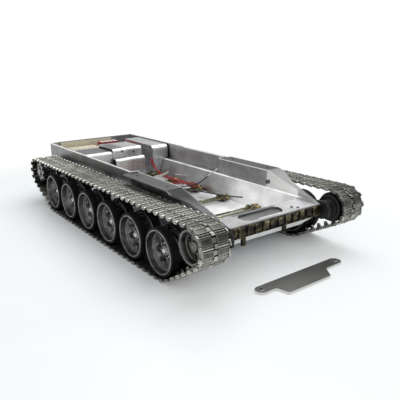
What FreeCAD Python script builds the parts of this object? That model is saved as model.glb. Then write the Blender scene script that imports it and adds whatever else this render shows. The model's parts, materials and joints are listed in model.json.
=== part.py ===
import FreeCAD, Part
import math
import os

import Sketcher

# Tracked chassis of a one-sixteenth scale tank, in millimetres.
# +X points forward, +Y to the left and +Z up.  The origin is on the ground, under the middle of
# the whole chassis and midway along the right-hand row of road wheels.

V = FreeCAD.Vector
SIDES = {"right": -1, "left": 1}
WHEELS = range(1, 7)
ROLLERS = range(1, 3)

DIMENSIONS = [
    # alias, value, meaning
    ("wheel_pitch", 53.4, "distance between neighbouring road wheels"),
    ("axle_height", 27.3, "height of the road wheel axles"),
    ("stagger", 7, "how far the left wheels sit behind the right ones"),
    ("wheel_middle", 89.9, "middle plane of wheels and track, from the centre line"),
    ("wheel_width", 25.8, "overall width of a twin road wheel"),
    ("tyre_radius", 23.6, "outer radius of the rubber tyres"),
    ("rim_radius", 21.3, "outer radius of the metal rims"),
    ("groove_radius", 18, "bottom of the groove between the twin rims"),
    ("groove_width", 7, "width of that groove, which clears the guide horns"),
    ("rim_thickness", 1.5, "radial thickness of a rim"),
    ("hub_radius", 6.5, "radius of the wheel hub"),
    ("dish_depth", 9.4, "depth of the wheel web inside the rim edge"),
    ("axle_radius", 2.4, "radius of the wheel axles"),
    ("running_gap", 0.2, "radial clearance of turning pieces on their axles"),
    ("pivot_ahead", 28.9, "how far a swing arm's pivot is ahead of its wheel"),
    ("pivot_height", 35.3, "height of the torsion bars"),
    ("bar_radius", 1.6, "radius of the torsion bars"),
    ("bar_outer", 69, "outer end of a torsion bar, from the centre line"),
    ("bar_length", 115.5, "length of a torsion bar"),
    ("anchor_radius", 3, "radius of the brass anchors and bushes of the torsion bars"),
    ("anchor_inner", 40.5, "where a bar's far end enters its anchor, from the centre line"),
    ("anchor_length", 7, "length of an anchor"),
    ("bush_outer", 47.4, "outer end of a bar's bush, from the centre line"),
    ("bush_length", 5, "length of a bush"),
    ("boss_radius", 4.2, "radius of the swing arm's pivot boss"),
    ("boss_inner", 54.5, "inner end of the pivot boss, from the centre line"),
    ("arm_inner", 69, "inner face of a swing arm, from the centre line"),
    ("arm_thickness", 4.5, "thickness of a swing arm"),
    ("idler_ahead", 183.4, "idler axle, forward of the origin"),
    ("idler_height", 47.75, "height of the idler axle"),
    ("sprocket_behind", 190.2, "sprocket axle, behind the origin"),
    ("sprocket_height", 45, "height of the sprocket axle"),
    ("end_radius", 18.3, "radius of the link pins round idler and sprocket"),
    ("end_wheel_radius", 15.5, "outer radius of the idler"),
    ("sprocket_teeth", 11, "teeth round a sprocket ring"),
    ("sprocket_tip", 15.4, "radius of the sprocket's tooth tips"),
    ("corner_radius", 32, "radius of the link pins where the ground run turns up"),
    ("roller_radius", 6, "radius of the return rollers"),
    ("link_count", 84, "links in one track"),
    ("track_width", 32.3, "width of a track"),
    ("track_half", 1.6, "half the thickness of a link"),
    ("link_gap", 0.8, "gap between neighbouring links"),
    ("horn_height", 4.4, "height of the guide horns"),
    ("hull_rear", 224, "rear face of the hull, behind the origin"),
    ("nose_ahead", 182.6, "lip of the nose, forward of the origin"),
    ("step_ahead", 25, "where the wide rear walls step in to the front walls"),
    ("slope_ahead", 109, "where the front walls start to slope down"),
    ("deck_ahead", 155, "rear edge of the nose deck"),
    ("skin", 1.5, "thickness of the hull sheet"),
    ("floor_height", 32, "inner face of the hull floor"),
    ("floor_half", 48, "half width of the hull floor"),
    ("bend_height", 57, "height of the long bend in the side walls"),
    ("bend_half", 57.5, "half width between the walls at the bend"),
    ("wall_half", 66.5, "half width between the rear walls"),
    ("wall_height", 78, "top of the rear walls"),
    ("flange_half", 77, "outer edge of the front flanges"),
    ("flange_height", 76.5, "top of the front flanges"),
    ("nose_half", 61, "half width of the nose lip"),
    ("deck_height", 54, "top of the nose deck"),
    ("screw_radius", 1.6, "radius of the screw holes in the flanges"),
    ("screw_rear", 39, "rear pair of flange holes, forward of the origin"),
    ("screw_front", 99, "front pair of flange holes, forward of the origin"),
    ("screw_half", 68, "flange holes, from the centre line"),
    ("case_skin", 1.3, "sheet thickness of the gearbox covers"),
    ("case_rear", 205, "rear face of the gearbox covers, behind the origin"),
    ("case_front_right", 119, "upper front face of the right cover, behind the origin"),
    ("case_front_left", 105, "front face of the left cover, behind the origin"),
    ("case_back_right", 166, "rear end of the right cover's full height, behind the origin"),
    ("case_back_left", 190, "rear end of the left cover's full height, behind the origin"),
    ("case_height", 77, "top of the gearbox covers"),
    ("case_wing", 73.5, "top of the right cover beside the motors"),
    ("case_step", 64, "height of the step in the right cover's front"),
    ("case_low", 60, "top of the covers' low rear part"),
    ("case_right_edge", 62, "right edge of the right cover, from the centre line"),
    ("case_right_wall", 46, "right wall of the right cover, from the centre line"),
    ("motor_cover_right", 17, "right side of the motor cover, from the centre line"),
    ("motor_cover_left", 28, "left side of the motor cover, from the centre line"),
    ("case_left_inner", 39, "right side of the left cover, from the centre line"),
    ("case_left_wall", 47.2, "left wall of the left cover's low part, from the centre line"),
    ("case_left_edge", 64, "left edge of the left cover, from the centre line"),
    ("vent_radius", 1.6, "radius of the two holes in the motor cover"),
    ("shoulder_radius", 5, "rounding of the covers' front shoulders"),
    ("gear_teeth", 22, "teeth of the gear on a drive shaft"),
    ("pinion_teeth", 10, "teeth of a motor pinion"),
    ("gear_width", 4.4, "width of gear and pinion"),
    ("gear_module", 1, "pitch diameter per tooth"),
    ("gear_backlash", 0.35, "extra distance between gear and pinion"),
    ("shaft_radius", 3, "radius of the drive shafts"),
    ("motor_radius", 12, "radius of the motor cans"),
    ("motor_length", 19.5, "length of a motor can without its boss"),
    ("motor_skin", 1.2, "wall thickness of the motor cans"),
    ("rotor_gap", 0.7, "clearance round a rotor inside its can"),
    ("motor_shaft", 1.2, "radius of the motor shafts"),
    ("plate_ahead", 202.5, "rear edge of the loose plate, forward of the origin"),
    ("plate_middle", 6, "middle of the loose plate, to the left of the centre line"),
    ("plate_length", 112, "length of the loose plate across the chassis"),
    ("plate_bar", 12.5, "depth of the loose plate's bar"),
    ("plate_depth", 25.5, "depth of the loose plate at its tab"),
    ("plate_skin", 1.5, "thickness of the loose plate"),
    ("plate_lift", 0.8, "height of the loose plate's underside"),
    ("plate_screws", 100.6, "distance between the loose plate's screws"),
]

doc = FreeCAD.newDocument("tracked_chassis")


# ---------------------------------------------------------------- sheet and expressions

def make_sheet(rows):
    sheet = doc.addObject("Spreadsheet::Sheet", "dims")
    for number, (alias, value, meaning) in enumerate(rows, start=1):
        sheet.set("A%d" % number, meaning)
        sheet.set("B%d" % number, str(value))
        sheet.setAlias("B%d" % number, alias)
    doc.recompute()
    return sheet


dims = make_sheet(DIMENSIONS)


def value_of(expression):
    """The number an expression of the sheet's cells stands for."""
    return float(dims.evalExpression(expression))


def bind(thing, settings):
    for name, expression in settings.items():
        thing.setExpression(name, expression)
    return thing


def place(thing, x="0", y="0", z="0"):
    return bind(thing, {
        "Placement.Base.x": x,
        "Placement.Base.y": y,
        "Placement.Base.z": z,
    })


# ---------------------------------------------------------------- sketches and solid features

def new_body(label):
    body = doc.addObject("PartDesign::Body", label)
    body.Label = label
    return body


def new_sketch(body, name, role, lift="0"):
    """A sketch on one of the body's own origin planes, lifted along the plane's normal."""
    sketch = body.newObject("Sketcher::SketchObject", name)
    plane = next(item for item in body.Origin.OriginFeatures if item.Role == role)
    sketch.AttachmentSupport = (plane, "")
    sketch.MapMode = "FlatFace"
    sketch.setExpression(".AttachmentOffset.Base.z", lift)
    return sketch


def hold(sketch, kind, geometry, position, expression):
    """Fix one coordinate of a sketch point to an expression."""
    value = value_of(expression)
    if abs(value) < 1e-9:
        axis = -2 if kind == "DistanceX" else -1
        sketch.addConstraint(Sketcher.Constraint("PointOnObject", geometry, position, axis))
        return
    constraint = Sketcher.Constraint(kind, -1, 1, geometry, position, value)
    index = sketch.addConstraint(constraint)
    sketch.setExpression("Constraints[%d]" % index, expression)


def outline(sketch, corners):
    """A closed polygon; each corner is a pair of expressions."""
    first = sketch.GeometryCount
    total = len(corners)
    points = [V(value_of(across), value_of(up), 0) for across, up in corners]
    for index in range(total):
        line = Part.LineSegment(points[index], points[(index + 1) % total])
        sketch.addGeometry(line, False)
    for index in range(total):
        following = first + (index + 1) % total
        sketch.addConstraint(Sketcher.Constraint("Coincident", first + index, 2, following, 1))
    for index, (across, up) in enumerate(corners):
        hold(sketch, "DistanceX", first + index, 1, across)
        hold(sketch, "DistanceY", first + index, 1, up)


def mirrored_outline(sketch, half):
    """A polygon symmetric about the sketch's vertical axis, from its right half, bottom to top."""
    other = [("-(%s)" % across, up) for across, up in reversed(half)]
    outline(sketch, half + other)


def rectangle(sketch, left, right, low, high):
    outline(sketch, [(left, low), (right, low), (right, high), (left, high)])


def ring(sketch, across, up, radius):
    """A circle held by its centre and radius."""
    centre = V(value_of(across), value_of(up), 0)
    circle = Part.Circle(centre, V(0, 0, 1), value_of(radius))
    index = sketch.addGeometry(circle, False)
    hold(sketch, "DistanceX", index, 3, across)
    hold(sketch, "DistanceY", index, 3, up)
    size = sketch.addConstraint(Sketcher.Constraint("Radius", index, value_of(radius)))
    sketch.setExpression("Constraints[%d]" % size, radius)


def extrude(body, kind, name, sketch, length, side="One side", reverse=False):
    feature = body.newObject("PartDesign::" + kind, name)
    feature.Profile = sketch
    feature.SideType = side
    feature.Reversed = reverse
    feature.setExpression("Length", length)
    sketch.Visibility = False
    return feature


def pad(body, name, sketch, length, side="One side", reverse=False):
    return extrude(body, "Pad", name, sketch, length, side, reverse)


def pocket(body, name, sketch, length, side="One side", reverse=False):
    return extrude(body, "Pocket", name, sketch, length, side, reverse)


def revolve(body, name, sketch, axis="V_Axis"):
    feature = body.newObject("PartDesign::Revolution", name)
    feature.Profile = sketch
    feature.ReferenceAxis = (sketch, [axis])
    feature.Angle = 360
    return feature


def polar(body, name, features, role, count):
    pattern = body.newObject("PartDesign::PolarPattern", name)
    pattern.Originals = features
    axis = next(item for item in body.Origin.OriginFeatures if item.Role == role)
    pattern.Axis = (axis, [""])
    pattern.Angle = 360
    pattern.setExpression("Occurrences", count)
    body.Tip = pattern
    return pattern


def round_edges(body, name, radius, wanted, along="y"):
    """Fillet the tip's edges that run along one axis, where the two other coordinates are wanted."""
    doc.recompute()
    tip = body.Tip
    first, second = [letter for letter in "xyz" if letter != along]
    places = [(value_of(one), value_of(two)) for one, two in wanted]
    edges = []
    for index, edge in enumerate(tip.Shape.Edges, start=1):
        ends = [vertex.Point for vertex in edge.Vertexes]
        if len(ends) != 2 or abs(getattr(ends[0], along) - getattr(ends[1], along)) < 1:
            continue
        for one, two in places:
            gaps = [math.hypot(getattr(end, first) - one, getattr(end, second) - two) for end in ends]
            if max(gaps) < 0.01:
                edges.append("Edge%d" % index)
    fillet = body.newObject("PartDesign::Fillet", name)
    fillet.Base = (tip, edges)
    fillet.setExpression("Radius", radius)


# ---------------------------------------------------------------- primitive solids

def cuboid(label, size, corner):
    solid = doc.addObject("Part::Box", label)
    bind(solid, dict(zip(("Length", "Width", "Height"), size)))
    return place(solid, *corner)


def rod(label, radius, length, start, axis="+Y"):
    """A cylinder whose axis runs from start along axis."""
    turns = {
        "+Y": FreeCAD.Rotation(V(1, 0, 0), -90),
        "-Y": FreeCAD.Rotation(V(1, 0, 0), 90),
        "+Z": FreeCAD.Rotation(),
    }
    solid = doc.addObject("Part::Cylinder", label)
    solid.Placement = FreeCAD.Placement(V(0, 0, 0), turns[axis])
    bind(solid, {"Radius": radius, "Height": length})
    return place(solid, *start)


def fuse(label, solids):
    joined = doc.addObject("Part::MultiFuse", label)
    joined.Shapes = solids
    return joined


def cut(label, base, tool):
    result = doc.addObject("Part::Cut", label)
    result.Base = base
    result.Tool = tool
    return result


def group(label, solids):
    """Separate solids that share one node."""
    together = doc.addObject("Part::Compound", label)
    together.Links = solids
    return together


def wheel_x(side, number):
    """Expression for the X of a road wheel's axle; wheels count from the front."""
    place_in_row = 3.5 - number
    behind = " - dims.stagger" if side == "left" else ""
    return "dims.wheel_pitch * %.1f%s" % (place_in_row, behind)


def pivot_x(side, number):
    return wheel_x(side, number) + " + dims.pivot_ahead"


def outward(side, distance):
    """Expression for a Y that lies a distance out from the centre line."""
    return "%d * (%s)" % (SIDES[side], distance)


# ---------------------------------------------------------------- hull

def make_hull():
    hull = new_body("hull_tub")
    rear = "-dims.hull_rear"
    whole = "dims.hull_rear + dims.nose_ahead"

    trough = new_sketch(hull, "trough_section", "YZ_Plane", rear)
    mirrored_outline(trough, [
        ("dims.floor_half + dims.skin", "dims.floor_height - dims.skin"),
        ("dims.bend_half + dims.skin", "dims.bend_height - dims.skin"),
        ("dims.bend_half + dims.skin", "dims.flange_height"),
    ])
    pad(hull, "trough", trough, whole)

    wide = new_sketch(hull, "rear_section", "YZ_Plane", rear)
    rectangle(wide, "-dims.wall_half - dims.skin", "dims.wall_half + dims.skin",
              "dims.bend_height - dims.skin", "dims.wall_height")
    pad(hull, "rear_walls", wide, "dims.hull_rear + dims.step_ahead")

    flange = new_sketch(hull, "flange_section", "YZ_Plane", "dims.step_ahead - dims.skin")
    rectangle(flange, "-dims.flange_half", "dims.flange_half",
              "dims.flange_height - dims.skin", "dims.flange_height")
    pad(hull, "flanges", flange, "dims.slope_ahead - dims.step_ahead + 2 * dims.skin")

    above = new_sketch(hull, "slope_side", "XZ_Plane")
    outline(above, [
        ("dims.slope_ahead", "dims.flange_height"),
        ("dims.nose_ahead", "dims.deck_height"),
        ("dims.nose_ahead + 10", "dims.deck_height"),
        ("dims.nose_ahead + 10", "dims.wall_height + 10"),
        ("dims.slope_ahead", "dims.wall_height + 10"),
    ])
    pocket(hull, "slope", above, "4 * dims.flange_half", "Symmetric")

    strip = new_sketch(hull, "slope_flange_side", "XZ_Plane")
    outline(strip, [
        ("dims.slope_ahead", "dims.flange_height - dims.skin"),
        ("dims.nose_ahead", "dims.deck_height - dims.skin"),
        ("dims.nose_ahead", "dims.deck_height"),
        ("dims.slope_ahead", "dims.flange_height"),
    ])
    pad(hull, "slope_flange", strip, "2 * dims.flange_half", "Symmetric")

    for sign, name in ((1, "left_taper"), (-1, "right_taper")):
        taper = new_sketch(hull, name + "_plan", "XY_Plane")
        outline(taper, [
            ("dims.slope_ahead + 8", "%d * (dims.flange_half)" % sign),
            ("dims.slope_ahead + 30", "%d * (dims.nose_half + 6)" % sign),
            ("dims.nose_ahead + 1", "%d * (dims.nose_half)" % sign),
            ("dims.nose_ahead + 1", "%d * (dims.flange_half + 1)" % sign),
            ("dims.slope_ahead + 8", "%d * (dims.flange_half + 1)" % sign),
        ])
        pocket(hull, name, taper, "dims.wall_height + 5", reverse=True)

    well = new_sketch(hull, "well_section", "YZ_Plane", rear + " + dims.skin")
    mirrored_outline(well, [
        ("dims.floor_half", "dims.floor_height"),
        ("dims.bend_half", "dims.bend_height"),
        ("dims.bend_half", "dims.wall_height + 5"),
    ])
    pocket(hull, "well", well, "dims.hull_rear - dims.skin + dims.deck_ahead", reverse=True)

    bay = new_sketch(hull, "bay_section", "YZ_Plane", rear + " + dims.skin")
    rectangle(bay, "-dims.wall_half", "dims.wall_half", "dims.bend_height", "dims.wall_height + 5")
    pocket(hull, "bay", bay, "dims.hull_rear + dims.step_ahead - 2 * dims.skin", reverse=True)

    deck = new_sketch(hull, "deck_section", "YZ_Plane", "dims.deck_ahead - 1")
    rectangle(deck, "-dims.bend_half", "dims.bend_half", "dims.deck_height", "dims.wall_height + 5")
    pocket(hull, "deck_clearance", deck, "dims.nose_ahead - dims.deck_ahead + 5", reverse=True)

    under = new_sketch(hull, "under_deck_side", "XZ_Plane")
    outline(under, [
        ("dims.deck_ahead - 1", "dims.floor_height"),
        ("dims.nose_ahead - 16", "dims.floor_height"),
        ("dims.nose_ahead - dims.skin", "dims.floor_height + 13"),
        ("dims.nose_ahead - dims.skin", "dims.deck_height - dims.skin"),
        ("dims.deck_ahead - 1", "dims.deck_height - dims.skin"),
    ])
    pocket(hull, "under_deck", under, "2 * dims.floor_half", "Symmetric")

    chin = new_sketch(hull, "chin_side", "XZ_Plane")
    outline(chin, [
        ("dims.nose_ahead - 15", "dims.floor_height - dims.skin"),
        ("dims.nose_ahead", "dims.floor_height + 11"),
        ("dims.nose_ahead + 5", "dims.floor_height + 11"),
        ("dims.nose_ahead + 5", "dims.floor_height - 6"),
        ("dims.nose_ahead - 15", "dims.floor_height - 6"),
    ])
    pocket(hull, "chin", chin, "4 * dims.flange_half", "Symmetric")

    opening = new_sketch(hull, "deck_opening_plan", "XY_Plane", "dims.deck_height + 1")
    outline(opening, [
        ("dims.deck_ahead + 4", "-28"),
        ("dims.deck_ahead + 9", "-34"),
        ("dims.nose_ahead - 9.5", "-34"),
        ("dims.nose_ahead - 4.5", "-29"),
        ("dims.nose_ahead - 4.5", "6"),
        ("dims.nose_ahead - 7", "14"),
        ("dims.nose_ahead - 12", "18.5"),
        ("dims.deck_ahead + 8", "20.5"),
        ("dims.deck_ahead + 4", "16"),
    ])
    pocket(hull, "deck_opening", opening, "dims.skin + 2")

    for side, sign in SIDES.items():
        holes = new_sketch(hull, side + "_wall_holes", "XZ_Plane")
        for number in WHEELS:
            ring(holes, pivot_x(side, number), "dims.pivot_height", "dims.bar_radius + 0.5")
        ring(holes, "-dims.sprocket_behind", "dims.sprocket_height", "dims.shaft_radius + 1")
        pocket(hull, side + "_wall_bores", holes, "dims.flange_half + 5", reverse=(sign < 0))

    screws = new_sketch(hull, "flange_holes_plan", "XY_Plane", "dims.flange_height + 1")
    for across in ("dims.screw_half", "-dims.screw_half"):
        for along in ("dims.screw_rear", "dims.screw_front"):
            ring(screws, along, across, "dims.screw_radius")
    pocket(hull, "flange_holes", screws, "dims.skin + 2")
    return hull


def make_front_plate():
    """Plate under the nose lip: a backing strip, upright ribs and two tow brackets."""
    plate = new_body("front_plate")
    low = "dims.floor_height + 11.4"
    high = "dims.deck_height - 0.8"
    back = "dims.nose_ahead + 0.2"
    strip = new_sketch(plate, "strip_section", "YZ_Plane", back)
    rectangle(strip, "-dims.nose_half + 1", "dims.nose_half - 1", low, high)
    pad(plate, "strip", strip, "0.9")
    ribs = new_sketch(plate, "rib_section", "YZ_Plane", back + " + 0.9")
    rib_count = 13
    for number in range(rib_count):
        share = number / (rib_count - 1) * 2 - 1
        middle = "(dims.nose_half - 2.2) * %.4f" % share
        rectangle(ribs, middle + " - 0.7", middle + " + 0.7", low, high)
    pad(plate, "ribs", ribs, "1.3")
    shelf = new_sketch(plate, "shelf_section", "YZ_Plane", back + " + 0.9")
    rectangle(shelf, "-dims.nose_half + 1", "dims.nose_half - 1", low, low + " + 1")
    pad(plate, "shelf", shelf, "1.3")
    for number, middle in enumerate(("-44", "8")):
        hook = new_sketch(plate, "bracket_%d_section" % number, "YZ_Plane", back)
        rectangle(hook, middle + " - 2.2", middle + " + 2.2", low + " - 8", low + " + 1")
        ring(hook, middle, low + " - 5.4", "1.2")
        pad(plate, "bracket_%d" % number, hook, "2.2")
    return plate


def make_cover_plate():
    """Flat plate with a wide tab, rounded ends and shoulders, and a screw hole at each end."""
    plate = new_body("nose_cover_plate")
    plan = new_sketch(plate, "plate_plan", "XY_Plane")
    half = "dims.plate_length / 2"
    ends = [("0", "-" + half), ("dims.plate_bar", "-" + half), ("dims.plate_bar", half), ("0", half)]
    shoulders = [("dims.plate_bar", "-38"), ("dims.plate_bar", "29")]
    tab_corners = [("dims.plate_depth", "-35"), ("dims.plate_depth", "20")]
    outline(plan, [
        ends[0], ends[1], shoulders[0], tab_corners[0],
        tab_corners[1], shoulders[1], ends[2], ends[3],
    ])
    for sign in ("-", ""):
        ring(plan, "dims.plate_bar / 2", sign + "dims.plate_screws / 2", "1.8")
    pad(plate, "sheet", plan, "dims.plate_skin")
    round_edges(plate, "round_ends", "dims.plate_bar / 2 - 0.2", ends, "z")
    round_edges(plate, "round_shoulders", "3.5", shoulders, "z")
    round_edges(plate, "round_tab", "1.5", tab_corners, "z")
    return place(plate, "dims.plate_ahead", "dims.plate_middle", "dims.plate_lift")


def make_plate_screws():
    """Pan head screws standing in the plate's end holes."""
    solids = []
    for name, sign in (("near", "-"), ("far", "+")):
        x = "dims.plate_ahead + dims.plate_bar / 2"
        y = "dims.plate_middle %s dims.plate_screws / 2" % sign
        top = "dims.plate_skin + 0.9"
        stem = rod(name + "_screw_stem", "1.5", top, (x, y, "0"), "+Z")
        head = rod(name + "_screw_head", "2.6", "1.3", (x, y, top), "+Z")
        solids.append(fuse(name + "_screw", [stem, head]))
    return group("plate_screws", solids)


# ---------------------------------------------------------------- running gear

def make_road_wheel(side, number):
    """Twin rim, dished web with eight lightening holes, hub and cap, blind bore from inside."""
    wheel = new_body("road_wheel_%s_%d" % (side, number))
    out = SIDES[side]
    half = "dims.wheel_width / 2"
    groove = "dims.groove_width / 2"
    inner = "dims.rim_radius - dims.rim_thickness"
    web = half + " - dims.dish_depth"
    section = new_sketch(wheel, "wheel_section_%s_%d" % (side, number), "XY_Plane")
    corners = [
        ("0", web + " + 3.4"),
        ("3.2", web + " + 3.4"),
        ("dims.hub_radius - 1", web + " + 2.2"),
        ("dims.hub_radius", web + " + 0.4"),
        (inner + " - 1.5", web + " + 0.4"),
        (inner, web + " + 2"),
        (inner, half),
        ("dims.rim_radius", half),
        ("dims.rim_radius", groove),
        ("dims.groove_radius", groove),
        ("dims.groove_radius", "-" + groove),
        ("dims.rim_radius", "-" + groove),
        ("dims.rim_radius", "-" + half),
        (inner, "-" + half),
        (inner, "-" + groove + " - 1.5"),
        ("dims.hub_radius", "-" + groove + " - 1.5"),
        ("dims.hub_radius", "-" + half + " + 2"),
        ("dims.axle_radius + dims.running_gap", "-" + half + " + 2"),
        ("dims.axle_radius + dims.running_gap", web + " + 1.2"),
        ("0", web + " + 1.2"),
    ]
    outline(section, [(radius, "%d * (%s)" % (out, along)) for radius, along in corners])
    revolve(wheel, "turned_wheel_%s_%d" % (side, number), section)
    hole = new_sketch(wheel, "web_hole_%s_%d" % (side, number), "XZ_Plane")
    ring(hole, "dims.hub_radius + 5.6", "0", "3.1")
    bore = pocket(wheel, "web_bore_%s_%d" % (side, number), hole, "60", "Symmetric")
    polar(wheel, "web_bores_%s_%d" % (side, number), [bore], "Y_Axis", "8")
    return place(wheel, wheel_x(side, number), outward(side, "dims.wheel_middle"),
                 "dims.axle_height")


def make_tyre(side, number):
    """Two rubber bands, one on each rim."""
    name = "tyre_%s_%d" % (side, number)
    width = "(dims.wheel_width - dims.groove_width) / 2 - 0.4"
    bands = []
    for part, middle in (("inner", "-1"), ("outer", "1")):
        offset = "(%s) * (dims.wheel_width + dims.groove_width) / 4" % middle
        low = "%s + %s - (%s) / 2" % (outward(side, "dims.wheel_middle"), offset, width)
        start = (wheel_x(side, number), low, "dims.axle_height")
        full = rod(name + "_" + part + "_full", "dims.tyre_radius", width, start)
        hollow = rod(name + "_" + part + "_hollow", "dims.rim_radius + 0.05", width, start)
        bands.append(cut(name + "_" + part, full, hollow))
    return group(name, bands)


def make_swing_arm(side, number):
    """Arm between the torsion bar's end and the wheel, with the axle as one piece with it."""
    name = "swing_arm_%s_%d" % (side, number)
    arm = new_body(name)
    to_left = side == "left"
    lift = "%d * (%%s)" % -SIDES[side]
    rise = "dims.pivot_height - dims.axle_height"
    middle = "dims.arm_inner + dims.arm_thickness / 2"
    blade = new_sketch(arm, name + "_blade_side", "XZ_Plane", lift % "dims.arm_inner")
    outline(blade, [
        ("-2", "3.4"),
        ("-3.4", "0"),
        ("-1", "-3.4"),
        ("dims.pivot_ahead + 1.5", rise + " - 3.9"),
        ("dims.pivot_ahead + 4", rise + " - 0.5"),
        ("dims.pivot_ahead + 1", rise + " + 4"),
    ])
    pad(arm, name + "_blade", blade, "dims.arm_thickness", reverse=to_left)
    boss = new_sketch(arm, name + "_boss_side", "XZ_Plane", lift % "dims.boss_inner")
    ring(boss, "dims.pivot_ahead", rise, "dims.boss_radius")
    pad(arm, name + "_boss", boss, middle + " - dims.boss_inner + 1", reverse=to_left)
    axle = new_sketch(arm, name + "_axle_side", "XZ_Plane", lift % middle)
    ring(axle, "0", "0", "dims.axle_radius")
    wheel_face = "dims.wheel_middle + dims.wheel_width / 2 - dims.dish_depth"
    pad(arm, name + "_axle", axle, "%s + 0.6 - (%s)" % (wheel_face, middle), reverse=to_left)
    collar = new_sketch(arm, name + "_collar_side", "XZ_Plane", lift % middle)
    ring(collar, "0", "0", "dims.axle_radius + 1.8")
    pad(arm, name + "_collar", collar, "4.6", reverse=to_left)
    socket = new_sketch(arm, name + "_socket_side", "XZ_Plane", lift % "dims.boss_inner - 0.5")
    ring(socket, "dims.pivot_ahead", rise, "dims.bar_radius + dims.running_gap")
    pocket(arm, name + "_socket", socket, "dims.bar_outer - dims.boss_inner + 1",
           reverse=not to_left)
    return place(arm, wheel_x(side, number), "0", "dims.axle_height")


def make_torsion_bars():
    """Straight bars across the floor, each with a bush near its wall and an anchor at the far end."""
    bars = []
    anchors = []
    for side in SIDES:
        inward = "-Y" if side == "left" else "+Y"
        for number in WHEELS:
            name = "%s_%d" % (side, number)
            x = pivot_x(side, number)
            outer = (x, outward(side, "dims.bar_outer"), "dims.pivot_height")
            bars.append(rod("bar_" + name, "dims.bar_radius", "dims.bar_length", outer, inward))
            far = (x, outward(side, "-dims.anchor_inner"), "dims.pivot_height")
            knob = rod("knob_" + name, "dims.anchor_radius", "dims.anchor_length", far, inward)
            bore = rod("knob_bore_" + name, "dims.bar_radius + 0.05", "dims.anchor_length - 0.8",
                       far, inward)
            anchors.append(cut("anchor_" + name, knob, bore))
            near = (x, outward(side, "dims.bush_outer"), "dims.pivot_height")
            bush = rod("bush_solid_" + name, "dims.anchor_radius", "dims.bush_length", near, inward)
            hole = rod("bush_bore_" + name, "dims.bar_radius + 0.05", "dims.bush_length", near, inward)
            anchors.append(cut("bush_" + name, bush, hole))
    return group("torsion_bars", bars), group("torsion_anchors", anchors)


def make_torsion_bars():
    bars = []
    anchors = []
    for side, sign in SIDES.items():
        for number in WHEELS:
            name = "%s_%d" % (side, number)
            start_y = outward(side, "69")
            direction = "-Y" if sign > 0 else "+Y"
            bar_end = 69 + 46.5
            start = (pivot_x(side, number), start_y, "dims.pivot_height")
            bars.append(rod("bar_" + name, "dims.bar_radius", str(bar_end), start, direction))
            far = outward(side, "-40.5")
            place_at = (pivot_x(side, number), far, "dims.pivot_height")
            knob = rod("knob_" + name, "dims.anchor_radius", "7", place_at, direction)
            bore = rod("knob_bore_" + name, "dims.bar_radius + 0.05", "6.2", place_at, direction)
            anchors.append(cut("anchor_" + name, knob, bore))
            near = (pivot_x(side, number), outward(side, "47.4"), "dims.pivot_height")
            bush = rod("bush_solid_" + name, "dims.anchor_radius", "5", near, direction)
            hole = rod("bush_bore_" + name, "dims.bar_radius + 0.05", "5", near, direction)
            anchors.append(cut("bush_" + name, bush, hole))
    return group("torsion_bars", bars), group("torsion_anchors", anchors)


def make_idler(side):
    """Twin dished disc that turns the track at the front."""
    idler = new_body("idler_%s" % side)
    sign = SIDES[side]
    half = "dims.wheel_width / 2"
    groove = "dims.groove_width / 2"
    section = new_sketch(idler, "idler_section_" + side, "XY_Plane")
    corners = [
        ("0", half + " - 3.5"),
        ("4.5", half + " - 3.5"),
        ("5.5", half + " - 6"),
        ("dims.end_wheel_radius - 3.5", half + " - 6"),
        ("dims.end_wheel_radius - 2", half),
        ("dims.end_wheel_radius", half),
        ("dims.end_wheel_radius", groove),
        ("dims.end_wheel_radius - 5.2", groove),
        ("dims.end_wheel_radius - 5.2", "-" + groove),
        ("dims.end_wheel_radius", "-" + groove),
        ("dims.end_wheel_radius", "-" + half),
        ("dims.end_wheel_radius - 2", "-" + half),
        ("dims.end_wheel_radius - 3.5", "-" + half + " + 5"),
        ("5.5", "-" + half + " + 5"),
        ("5.5", "-" + half + " + 1"),
        ("dims.axle_radius + dims.running_gap", "-" + half + " + 1"),
        ("dims.axle_radius + dims.running_gap", half + " - 5.5"),
        ("0", half + " - 5.5"),
    ]
    outline(section, [(radius, "%d * (%s)" % (sign, along)) for radius, along in corners])
    revolve(idler, "turned_idler_" + side, section)
    hole = new_sketch(idler, "idler_hole_" + side, "XZ_Plane")
    ring(hole, "8.6", "0", "1.5")
    bore = pocket(idler, "idler_bore_" + side, hole, "60", "Symmetric")
    polar(idler, "idler_bores_" + side, [bore], "Y_Axis", "6")
    return place(idler, "dims.idler_ahead", outward(side, "dims.wheel_middle"),
                 "dims.idler_height")


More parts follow.
